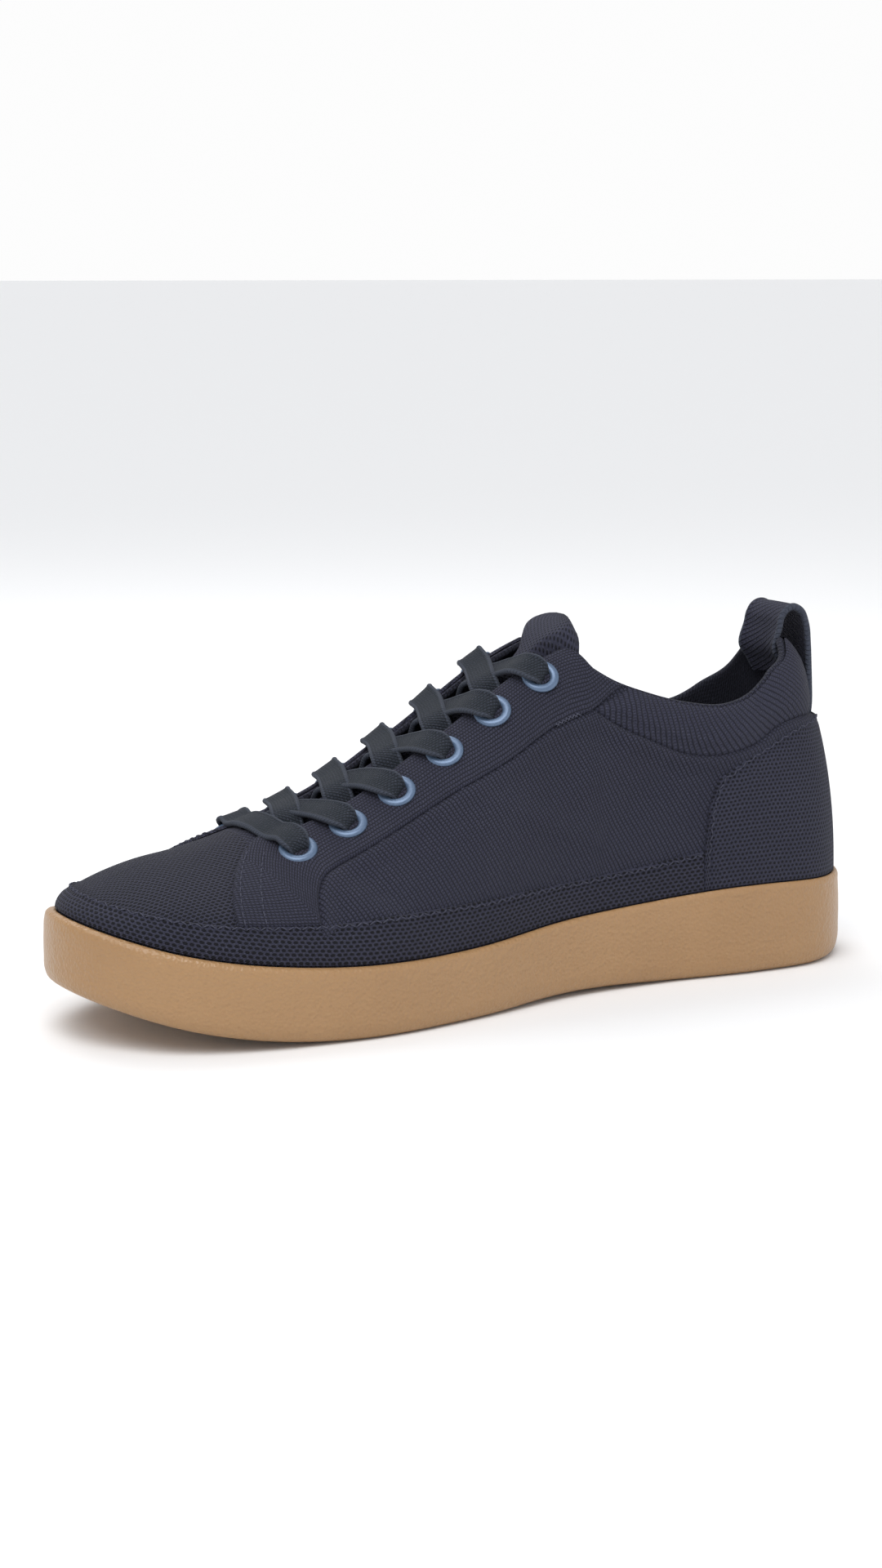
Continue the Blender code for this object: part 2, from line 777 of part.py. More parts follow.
def build_eyelet(name, side, pair):
    """Ring with a rounded flange and a barrel through the wall."""
    point, normal, along = eyelet_seat(side, pair)
    frame = frame_from(normal, along)
    frame.translation = place(point)
    low = EYELET_SEAT
    top = EYELET_SEAT + EYELET_RISE
    end = -(UPPER_WALL + 2 * CLEARANCE)
    middle = (EYELET_OUTER + EYELET_HOLE) / 2
    profile = (
        (EYELET_HOLE, end),
        (EYELET_BARREL, end),
        (EYELET_BARREL, low),
        (EYELET_OUTER, low),
        (EYELET_OUTER - 0.0003, low + 0.6 * EYELET_RISE),
        (middle, top),
        (EYELET_HOLE, low + 0.5 * EYELET_RISE),
    )
    bm = bmesh.new()
    rings = []
    for radius, height in profile:
        ring = []
        for k in range(EYELET_SIDES):
            turn = 2 * pi * k / EYELET_SIDES
            ring.append(bm.verts.new(frame @ Vector((radius * cos(turn), radius * sin(turn), height))))
        rings.append(ring)
    for i in range(len(rings)):
        ring_faces(bm, rings[i], rings[(i + 1) % len(rings)])
    add_mesh(name, bm, (0.19, 0.30, 0.50), 0.30, 0.3)


def patch_shell(name, grid, normals, inner, outer, colour, roughness):
    """Closed sheet between two offsets of a grid of points."""
    bm = bmesh.new()
    lower = []
    upper = []
    for points, outs in zip(grid, normals):
        lower.append([bm.verts.new(place(p + n * inner)) for p, n in zip(points, outs)])
        upper.append([bm.verts.new(place(p + n * outer)) for p, n in zip(points, outs)])
    count = len(grid)
    width = len(grid[0])
    for i in range(count - 1):
        for j in range(width - 1):
            bm.faces.new([lower[i][j], lower[i][j + 1], lower[i + 1][j + 1], lower[i + 1][j]])
            bm.faces.new([upper[i][j], upper[i + 1][j], upper[i + 1][j + 1], upper[i][j + 1]])
    for i in range(count - 1):
        bm.faces.new([lower[i][0], lower[i + 1][0], upper[i + 1][0], upper[i][0]])
        bm.faces.new([lower[i][-1], upper[i][-1], upper[i + 1][-1], lower[i + 1][-1]])
    for j in range(width - 1):
        bm.faces.new([lower[0][j], upper[0][j], upper[0][j + 1], lower[0][j + 1]])
        bm.faces.new([lower[-1][j], lower[-1][j + 1], upper[-1][j + 1], upper[-1][j]])
    return add_mesh(name, bm, colour, roughness)


def stations_between(start, end):
    """Ring stations strictly between two measures, with both ends added."""
    inside = [s for s in STATION if start + 0.004 < s < end - 0.004]
    return [start] + inside + [end]


def build_mudguard():
    """Mesh band round the foot of the upper from counter to counter."""
    start = angle_of((COUNTER_FRONT + 0.0006) / LENGTH)
    half = stations_between(start, 1.0)
    stations = half + [-s for s in reversed(half[:-1])]
    grid = []
    normals = []
    for station in stations:
        top = guard_rise(station)
        foot = rise_at_length(station, 2 * CLEARANCE)
        rises = [foot, foot + 0.5 * (top - foot), top]
        grid.append([upper_point(station, r) for r in rises])
        normals.append([upper_normal(station, r) for r in rises])
    patch_shell("mudguard", grid, normals, CLEARANCE, CLEARANCE + OVERLAY_WALL, (0.028, 0.030, 0.05), 0.9)


def build_heel_counter():
    """Knit panel round the heel below the collar band."""
    half = stations_between(0.0, angle_of(COUNTER[-4].along))
    half += [angle_of(row.along) for row in COUNTER[-3:]]
    stations = half[::-1][:-1] + [-s for s in half]
    grid = []
    normals = []
    for station in stations:
        x = section(station).foot[0]
        height = read_table(COUNTER, "edge", x / LENGTH) * INSTEP_HEIGHT
        top = rise_at_height(station, height)
        foot = rise_at_length(station, 2 * CLEARANCE)
        rises = [foot + part * (top - foot) for part in (0, 0.2, 0.4, 0.6, 0.8, 1.0)]
        grid.append([upper_point(station, r) for r in rises])
        normals.append([upper_normal(station, r) for r in rises])
    patch_shell("heel_counter", grid, normals, CLEARANCE, CLEARANCE + OVERLAY_WALL, (0.034, 0.036, 0.06), 0.85)


def build_tongue():
    """Padded tongue below the eyestays, flared where it rises above the collar."""
    grid = []
    normals = []
    lifts = []
    front = TONGUE[-1].along
    back = TONGUE[0].along
    for i in range(TONGUE_STEPS + 1):
        part = i / TONGUE_STEPS
        along = front + (back - front) * part
        if part > 0.6:
            along = front + (back - front) * (0.6 + 0.4 * sqrt((part - 0.6) / 0.4))
        middle = read_table(TONGUE, "middle", along) * THROAT_HALF
        wing = read_table(TONGUE, "wing", along) * THROAT_HALF
        half = read_table(TONGUE, "half", along) * THROAT_HALF
        sweep = read_table(TONGUE, "sweep", along) * THROAT_HALF
        spread = read_table(TONGUE, "crown", along)
        points = []
        outs = []
        lift = []
        for v in (-1, -0.72, -0.5, -0.26, 0, 0.26, 0.5, 0.72, 1):
            x = along * LENGTH - sweep * v**2
            point, normal, station = surface_at(x, ridge_at(x)[1] + v * half)
            points.append(point)
            outs.append(normal)
            crown = min(max((spread - abs(v)) / 0.34, 0), 1)
            lift.append(wing + (middle - wing) * crown**2 * (3 - 2 * crown))
        grid.append([p + n * d for p, n, d in zip(points, outs, lift)])
        normals.append(outs)
    shell = face_normals(grid)
    patch_shell("tongue", grid, shell, -TONGUE_WALL, 0.0, (0.032, 0.034, 0.058), 0.85)


def face_normals(grid):
    """Unit normals of a grid of points, pointing up."""
    normals = []
    for i in range(len(grid)):
        row = []
        for j in range(len(grid[0])):
            a = grid[min(i + 1, len(grid) - 1)][j] - grid[max(i - 1, 0)][j]
            b = grid[i][min(j + 1, len(grid[0]) - 1)] - grid[i][max(j - 1, 0)]
            normal = np.cross(a, b)
            normal = normal / np.linalg.norm(normal)
            row.append(-normal if grid_flip(normal, grid, i, j) else normal)
        normals.append(row)
    return normals


def grid_flip(normal, grid, i, j):
    """True where a normal points towards the inside of the shoe."""
    centre = np.array([grid[i][j][0] - 0.02, 0.0, 0.03])
    return float(np.dot(normal, grid[i][j] - centre)) < 0


def strip_mesh(frames):
    """Flat strip with thinned edges through frames of centre, across, up and width."""
    bm = bmesh.new()
    rings = []
    for centre, across, up, width in frames:
        half = width / 2
        thick = LACE_THICKNESS / 2
        ring = []
        for a, b in ((-half, 0), (-half + 0.0006, thick), (half - 0.0006, thick), (half, 0),
                     (half - 0.0006, -thick), (-half + 0.0006, -thick)):
            ring.append(bm.verts.new(place(centre + across * a + up * b)))
        rings.append(ring)
    for lower, upper in zip(rings, rings[1:]):
        ring_faces(bm, lower, upper)
    bm.faces.new(rings[0])
    bm.faces.new(rings[-1])
    return bm


def frames_of(points, ups, widths):
    """Frames of a strip from its centre line, its face normals and its widths."""
    frames = []
    for i in range(len(points)):
        before = points[max(i - 1, 0)]
        after = points[min(i + 1, len(points) - 1)]
        along = (after - before) / np.linalg.norm(after - before)
        across = np.cross(ups[i], along)
        across = across / np.linalg.norm(across)
        up = np.cross(along, across)
        frames.append((points[i], across, up, widths[i]))
    return frames


def raised_point(x, y, lift):
    """Point and normal at a height over the raised eyestay."""
    point, normal, station = surface_at(x, y)
    return point + normal * (RAISE + lift), normal


def eyelet_end(side, pair, towards):
    """Strip coming up out of an eyelet and turning towards a point: centres, ups, widths."""
    point, normal, ahead = eyelet_seat(side, pair)
    aim = towards - point
    aim = aim - normal * np.dot(aim, normal)
    aim = aim / np.linalg.norm(aim)
    points = []
    ups = []
    widths = []
    for row in LACE_RISE:
        points.append(point + aim * (row.out * EYELET_OUTER) + normal * (row.lift * EYELET_OUTER))
        lean = radians(row.lean)
        ups.append(normal * cos(lean) - aim * sin(lean))
        widths.append(LACE_TAIL_WIDTH + (LACE_WIDTH - LACE_TAIL_WIDTH) * row.width)
    return points, ups, widths


def lace_strip(side, pair, end_x, middle):
    """Strip from an eyelet over the throat, tucked under the opposite eyestay."""
    start = eyelet_seat(side, pair)[0]
    centre = ridge_at(start[0])[1]
    reach = TUCK_REACH * THROAT_HALF
    end = np.array([end_x, centre - side * reach, start[2]])
    points, ups, widths = eyelet_end(side, pair, end)
    span = abs(start[1] - end[1])
    for row in LACE_PATH:
        if row.part * span < 1.25 * EYELET_OUTER:
            continue
        x = start[0] + (end_x - start[0]) * row.part
        y = start[1] + (end[1] - start[1]) * row.part
        lift = row.lift * THROAT_HALF + middle * row.crossing
        point, normal = raised_point(x, y, lift)
        points.append(point)
        ups.append(normal)
        widths.append(LACE_WIDTH)
    return strip_mesh(frames_of(points, ups, widths))


def build_crossing(pair):
    """Two strips of one row, joined where the lateral one lies over the medial one."""
    end_x = eyelet_x(pair) + TUCK_AHEAD * (eyelet_x(pair - 1) - eyelet_x(pair))
    over = lace_strip(-1, pair, end_x, LACE_THICKNESS * 0.85)
    under = lace_strip(1, pair, end_x, LACE_THICKNESS * 0.05)
    name = "lace_cross_%d" % (pair + 1)
    lace = add_mesh(name, under, (0.020, 0.027, 0.036), 0.8)
    bmesh.ops.recalc_face_normals(over, faces=over.faces[:])
    mesh = bpy.data.meshes.new(name + "_over")
    over.to_mesh(mesh)
    over.free()
    helper = bpy.data.objects.new(name + "_over", mesh)
    bpy.context.scene.collection.objects.link(helper)
    helper.hide_render = True
    helper.display_type = "WIRE"
    modifier = lace.modifiers.new(name, "BOOLEAN")
    modifier.operation = "UNION"
    modifier.solver = "EXACT"
    modifier.object = helper


def build_bar():
    """First lace row: one strip straight across, down into an eyelet at each end."""
    medial = eyelet_seat(1, 0)[0]
    lateral = eyelet_seat(-1, 0)[0]
    points, ups, widths = eyelet_end(1, 0, lateral)
    back_points, back_ups, back_widths = eyelet_end(-1, 0, medial)
    for part in (0.25, 0.38, 0.5, 0.62, 0.75):
        x = medial[0] + (lateral[0] - medial[0]) * part + BAR_BOW * sin(pi * part)
        y = medial[1] + (lateral[1] - medial[1]) * part
        point, normal = raised_point(x, y, LACE_THICKNESS * 1.1)
        points.append(point)
        ups.append(normal)
        widths.append(LACE_WIDTH)
    points += back_points[::-1]
    ups += back_ups[::-1]
    widths += back_widths[::-1]
    add_mesh("lace_bar", strip_mesh(frames_of(points, ups, widths)), (0.020, 0.027, 0.036), 0.8)


def build_pull_loop():
    """Knit strap from inside the collar's back, over and down to the heel counter."""
    pole = ridge_at(0)
    inner = UPPER_WALL + RAISE + 2 * CLEARANCE + LOOP_THICKNESS / 2
    outer = RAISE + 2 * CLEARANCE + LOOP_THICKNESS / 2
    points = []
    bows = []
    for height in LOOP_INSIDE:
        rise = rise_at_height(0, height * INSTEP_HEIGHT)
        point = upper_point(0, rise) - upper_normal(0, rise) * inner
        points.append(point)
        bows.append(1 / (pole[0] - point[0]))
    for row in LOOP_OVER:
        points.append(np.array([row.out * INSTEP_HEIGHT, 0.0, row.height * INSTEP_HEIGHT]))
        bows.append(row.bow / LOOP_WIDTH)
    for leg in LOOP_OUTSIDE:
        rise = rise_at_height(0, leg.height * INSTEP_HEIGHT)
        point = upper_point(0, rise) + upper_normal(0, rise) * (outer - leg.tuck * HEEL_TUCK)
        points.append(point)
        bows.append(1 / (pole[0] - point[0]))
    grid = []
    for point, bow in zip(points, bows):
        row = []
        for v in (-1, -0.5, 0, 0.5, 1):
            y = v * LOOP_WIDTH / 2
            row.append(point + np.array([0.5 * bow * y**2, y, 0.0]))
        grid.append(row)
    normals = []
    for i in range(len(grid)):
        row = []
        for j in range(5):
            along = grid[min(i + 1, len(grid) - 1)][j] - grid[max(i - 1, 0)][j]
            across = grid[i][min(j + 1, 4)] - grid[i][max(j - 1, 0)]
            normal = np.cross(across, along)
            row.append(normal / np.linalg.norm(normal))
        normals.append(row)
    half = LOOP_THICKNESS / 2
    patch_shell("pull_loop", grid, normals, -half, half, (0.034, 0.036, 0.06), 0.85)


def main():
    """Build every piece of the shoe."""
    for obj in list(bpy.data.objects):
        bpy.data.objects.remove(obj, do_unlink=True)
    build_outsole()
    build_insole()
    build_upper()
    build_tongue()
    build_mudguard()
    build_heel_counter()
    for pair in range(EYELET_PAIRS):
        build_eyelet("eyelet_medial_%d" % (pair + 1), 1, pair)
        build_eyelet("eyelet_lateral_%d" % (pair + 1), -1, pair)
    build_bar()
    for pair in range(1, EYELET_PAIRS):
        build_crossing(pair)
    build_pull_loop()


main()
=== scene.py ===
"""Looks of a knit slip-on sneaker, right shoe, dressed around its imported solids.

Units are metres. The toe points along +X, the medial side is +Y and the tread stands on z = 0.
Heights and places are worked out from the shoe's own driving sizes, in heel-back measure,
and moved to the frame's origin when a mesh is made.
"""

from __future__ import annotations

import logging
from dataclasses import dataclass, field
from enum import Enum
from math import cos, pi, radians, sin
from typing import Callable, Sequence

import bmesh
import bpy
import numpy as np
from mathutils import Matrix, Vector

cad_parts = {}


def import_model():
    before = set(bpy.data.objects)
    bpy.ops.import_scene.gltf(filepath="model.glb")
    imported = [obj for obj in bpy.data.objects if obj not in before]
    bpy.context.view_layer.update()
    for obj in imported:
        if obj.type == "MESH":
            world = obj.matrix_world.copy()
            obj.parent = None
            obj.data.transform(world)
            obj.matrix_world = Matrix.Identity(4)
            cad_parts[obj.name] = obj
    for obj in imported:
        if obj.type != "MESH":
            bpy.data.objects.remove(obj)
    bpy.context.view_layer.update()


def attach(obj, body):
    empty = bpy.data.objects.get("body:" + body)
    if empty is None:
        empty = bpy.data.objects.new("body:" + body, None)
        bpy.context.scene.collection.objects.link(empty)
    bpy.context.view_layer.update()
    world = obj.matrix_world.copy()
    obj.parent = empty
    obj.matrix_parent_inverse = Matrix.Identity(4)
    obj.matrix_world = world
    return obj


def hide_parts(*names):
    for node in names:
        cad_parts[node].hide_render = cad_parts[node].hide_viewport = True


LOG = logging.getLogger("sneaker")
BODY = "root"

# Driving sizes
LENGTH = 0.272
BALL_WIDTH = 0.098
SOLE_HEIGHT = 0.0274
INSTEP_HEIGHT = 0.114
HEEL_CENTRE = 0.129 * LENGTH
HEEL_POLE = 0.140 * LENGTH
TOE_POLE = 0.860 * LENGTH

# Wall, heel tuck, clearance and lift of the eyestays
CLEARANCE = 0.0003
UPPER_WALL = 0.0022
RAISE = 0.0005
HEEL_TUCK = 0.0024

# Throat and seams
THROAT_HALF = 0.0125
THROAT_FRONT = 0.774 * LENGTH
VAMP_FOOT = 0.841
COUNTER_FRONT = 0.238 * LENGTH

# Elastic strips and pull loop
LACE_WIDTH = 0.0094
LOOP_WIDTH = 0.021

# Points of a mesh closer than this are joined
MERGE = 2e-5

Colour = tuple[float, float, float, float]
# Points, map places, whether closed round the first way, whether turned over
Grid = tuple[np.ndarray, np.ndarray, bool, bool]


class Column:
    """Smooth curve through one column of a short table."""

    def __init__(self, xs: Sequence[float], ys: Sequence[float]) -> None:
        """Work out the slope at each row.

        Args:
            xs: First column, rising.
            ys: Values at the rows.
        """
        self.xs = np.array(xs, float)
        self.ys = np.array(ys, float)
        steps = np.diff(self.xs)
        rises = np.diff(self.ys) / steps
        inner = (rises[:-1] * steps[1:] + rises[1:] * steps[:-1]) / (steps[:-1] + steps[1:])
        self.slopes = np.concatenate([rises[:1], inner, rises[-1:]])

    def __call__(self, x: np.ndarray | float) -> np.ndarray:
        """Value of the curve, held level past both ends.

        Args:
            x: Places along the first column.

        Returns:
            Values at the places.
        """
        x = np.clip(np.asarray(x, float), self.xs[0], self.xs[-1])
        i = np.clip(np.searchsorted(self.xs, x, side="right") - 1, 0, len(self.xs) - 2)
        step = self.xs[i + 1] - self.xs[i]
        t = (x - self.xs[i]) / step
        start = (2 * t**3 - 3 * t**2 + 1) * self.ys[i] + (t**3 - 2 * t**2 + t) * step * self.slopes[i]
        end = (3 * t**2 - 2 * t**3) * self.ys[i + 1] + (t**3 - t**2) * step * self.slopes[i + 1]
        return start + end


class Table:
    """Short table with named columns over its first one."""

    def __init__(self, names: str, *rows: Sequence[float]) -> None:
        """Make one smooth curve for each column after the first.

        Args:
            names: Names of the columns, parted by spaces.
            rows: Rows of numbers.
        """
        columns = list(zip(*rows))
        self.rows = rows
        self.curves = {n: Column(columns[0], c) for n, c in zip(names.split()[1:], columns[1:])}

    def __getitem__(self, name: str) -> Column:
        """Curve of a named column."""
        return self.curves[name]


# Plan of the sole: shares of LENGTH along, shares of BALL_WIDTH across
OUTLINE = Table(
    "turn medial lateral",
    *[
        (np.arccos(1 - 2 * along) / pi, medial, lateral)
        for along, medial, lateral in (
            (0.000, 0.000, 0.000),
            (0.022, 0.178, -0.173),
            (0.074, 0.294, -0.286),
            (0.165, 0.323, -0.337),
            (0.294, 0.307, -0.347),
            (0.423, 0.337, -0.367),
            (0.551, 0.438, -0.434),
            (0.662, 0.503, -0.490),
            (0.761, 0.508, -0.490),
            (0.846, 0.485, -0.427),
            (0.919, 0.418, -0.331),
            (0.971, 0.284, -0.207),
            (1.000, 0.051, 0.051),
        )
    ],
)
# Side wall and cup floor of the sole above its tread: shares of SOLE_HEIGHT
WALLS = Table(
    "along rim floor",
    (0.00, 1.000, 0.657),
    (0.20, 1.040, 0.640),
    (0.40, 0.865, 0.500),
    (0.60, 0.781, 0.380),
    (0.80, 0.810, 0.350),
    (1.00, 0.781, 0.330),
)
# Ridge of the last: share of INSTEP_HEIGHT, share of BALL_WIDTH, fullness and steepness
RIDGE = Table(
    "along height centre medial lateral steep",
    (0.000, 1.026, 0.000, 1.52, 1.52, 2.00),
    (0.140, 1.026, 0.000, 2.30, 2.30, 2.00),
    (0.240, 1.020, 0.000, 3.20, 3.20, 2.00),
    (0.340, 0.978, 0.000, 3.60, 3.60, 2.00),
    (0.400, 0.932, 0.000, 3.65, 3.55, 2.00),
    (0.450, 0.878, 0.002, 3.50, 3.30, 2.00),
    (0.515, 0.786, 0.006, 2.60, 2.50, 2.00),
    (0.565, 0.712, 0.010, 2.20, 2.10, 2.00),
    (0.615, 0.649, 0.016, 1.70, 1.70, 2.00),
    (0.675, 0.572, 0.024, 1.60, 1.60, 2.00),
    (0.740, 0.520, 0.028, 1.42, 1.40, 2.00),
    (0.800, 0.477, 0.032, 1.42, 1.42, 2.05),
    (0.860, 0.444, 0.036, 1.48, 1.50, 2.15),
    (1.000, 0.444, 0.036, 1.65, 1.65, 2.30),
)
# Collar edge and the seam below the collar band: shares of INSTEP_HEIGHT
COLLAR = Table(
    "along edge_medial edge_lateral seam_medial seam_lateral",
    (0.000, 0.900, 0.900, 0.700, 0.700),
    (0.038, 0.908, 0.900, 0.702, 0.700),
    (0.058, 0.910, 0.865, 0.705, 0.690),
    (0.085, 0.870, 0.805, 0.705, 0.680),
    (0.130, 0.830, 0.752, 0.686, 0.650),
    (0.165, 0.775, 0.710, 0.645, 0.605),
    (0.200, 0.752, 0.698, 0.625, 0.580),
    (0.250, 0.762, 0.712, 0.628, 0.585),
    (0.300, 0.795, 0.750, 0.672, 0.630),
    (0.345, 0.838, 0.800, 0.722, 0.680),
    (0.385, 0.900, 0.875, 0.785, 0.750),
)
# Lower seam of the eyestay, from the collar's edge over the quarter to its front corner:
# share of INSTEP_HEIGHT on the medial side, and how much lower the lateral side lies
STAY_SEAM = Table(
    "along height drop",
    (0.326, 0.838, 0.048),
    (0.351, 0.807, 0.045),
    (0.376, 0.771, 0.040),
    (0.408, 0.750, 0.036),
    (0.429, 0.733, 0.034),
    (0.496, 0.653, 0.022),
    (0.570, 0.577, 0.016),
    (0.631, 0.506, 0.012),
    (0.689, 0.448, 0.008),
    (0.714, 0.425, 0.006),
    (0.729, 0.405, 0.004),
    (0.739, 0.380, 0.002),
    (0.7445, 0.352, 0.000),
    (0.7470, 0.322, 0.000),
    (0.7480, 0.290, 0.000),
)
# Back corner of the seam, front foot and upper end of the vamp seam: shares of LENGTH
APEX = 0.376
STAY_FRONT = 0.7480
STAY_TOP = 0.764
# Upper edge of the mudguard, up the upper from the rim: share of SOLE_HEIGHT
GUARD = Table(
    "along height",
    (0.000, 0.450),
    (0.240, 0.460),
    (0.330, 0.420),
    (0.410, 0.410),
    (0.510, 0.470),
    (0.600, 0.500),
    (0.670, 0.490),
    (0.730, 0.455),
    (0.790, 0.432),
    (0.860, 0.385),
    (0.920, 0.350),
    (0.960, 0.320),
    (1.000, 0.310),
)
# Upper edge of the heel counter: share of INSTEP_HEIGHT
COUNTER = Table(
    "along edge",
    (0.000, 0.690),
    (0.050, 0.690),
    (0.100, 0.675),
    (0.150, 0.635),
    (0.200, 0.575),
    (0.222, 0.525),
    (0.232, 0.440),
    (0.238, 0.310),
)
# Tongue: shares of THROAT_HALF for middle, wings, half width and sweep; spread of the crown
TONGUE = Table(
    "along middle wing half sweep crown",
    (0.366, 0.47, 0.16, 1.50, 0.00, 1.05),
    (0.386, 0.39, 0.02, 1.52, 0.00, 0.92),
    (0.404, 0.23, -0.24, 1.50, 0.00, 0.68),
    (0.418, 0.04, -0.44, 1.50, 0.06, 0.52),
    (0.436, -0.10, -0.44, 1.55, 0.02, 0.46),
    (0.500, -0.16, -0.44, 1.60, 0.00, 0.43),
    (0.720, -0.20, -0.46, 1.65, 0.00, 0.43),
    (0.790, -0.46, -0.46, 1.70, 0.00, 0.43),
)
# Strip coming up out of an eyelet: shares of its outer radius out and up, lean, spread
LACE_RISE = (
    (-0.12, -0.60, 90, 0.25),
    (-0.12, -0.20, 90, 0.30),
    (-0.11, 0.12, 82, 0.45),
    (0.06, 0.36, 42, 0.75),
    (0.38, 0.44, 10, 1.00),
    (0.86, 0.40, 0, 1.00),
)
# Strip from eyelet to tuck: share of the way, lift over the eyestay, share of the crossing's lift
LACE_PATH = (
    (0.34, 0.06, 0.5),
    (0.45, 0.01, 0.9),
    (0.55, 0.00, 1.0),
    (0.64, 0.00, 0.9),
    (0.72, -0.04, 0.3),
    (0.79, -0.20, 0.0),
    (0.85, -0.34, 0.0),
    (1.00, -0.34, 0.0),
)
# Pull loop over the collar: shares of INSTEP_HEIGHT out and up, roundness of the face
LOOP_INSIDE = (0.820, 0.860, 0.895)
LOOP_OVER = (
    (0.212, 0.945, 0.70),
    (0.212, 0.968, 0.45),
    (0.200, 0.990, 0.30),
    (0.176, 0.999, 0.25),
    (0.150, 0.986, 0.25),
    (0.132, 0.950, 0.30),
    (0.122, 0.890, 0.40),
    (0.116, 0.830, 0.50),
    (0.110, 0.775, 0.65),
)
LOOP_OUTSIDE = ((0.745, 0.80), (0.718, 1.30), (0.700, 1.70))
# Middles of the tread's cross grooves: shares of LENGTH
GROOVES = (0.045, 0.085, 0.175, 0.215, 0.520, 0.560, 0.600, 0.715, 0.755, 0.795, 0.835)


class Side(Enum):
    """Side of the right shoe."""

    MEDIAL = 1
    LATERAL = -1

    @property
    def word(self) -> str:
        """Name of the side as the tables use it."""
        return self.name.lower()


def unit(vectors: np.ndarray) -> np.ndarray:
    """Vectors scaled to length one."""
    return vectors / np.maximum(np.linalg.norm(vectors, axis=-1, keepdims=True), 1e-12)


def ease(value: np.ndarray | float) -> np.ndarray:
    """Smooth step of a value from 0 to 1."""
    value = np.clip(value, 0, 1)
    return value * value * (3 - 2 * value)


def spline(points: np.ndarray, steps: int) -> np.ndarray:
    """Smooth curve through rows of numbers.

    Args:
        points: One row of numbers for each control point.
        steps: Curve points made for each stretch.

    Returns:
        The rows of the curve, both end points among them.
    """
    points = np.asarray(points, float)
    gaps = np.linalg.norm(np.diff(points[:, :3], axis=0), axis=1)
    run = np.concatenate([[0], np.cumsum(np.maximum(gaps, 1e-9))])
    wanted = np.concatenate([np.linspace(a, b, steps, endpoint=False) for a, b in zip(run, run[1:])])
    wanted = np.append(wanted, run[-1])
    return np.stack([Column(run, points[:, k])(wanted) for k in range(points.shape[1])], axis=1)


def run_of(points: np.ndarray) -> np.ndarray:
    """Length run along a line of points, from 0."""
    return np.concatenate([[0], np.cumsum(np.linalg.norm(np.diff(points, axis=0), axis=1))])


def chart_of(run: np.ndarray, up: np.ndarray) -> np.ndarray:
    """Map of a sheet from the run along it and the places up it."""
    return np.stack([np.broadcast_to(run[:, None], up.shape), up], axis=-1)


def roll_of(gap: np.ndarray, roll: float) -> np.ndarray:
    """Height share of a rolled edge, 0 at the edge and 1 past the roll."""
    return np.sqrt(1 - (1 - np.clip(gap / roll, 0, 1)) ** 2)


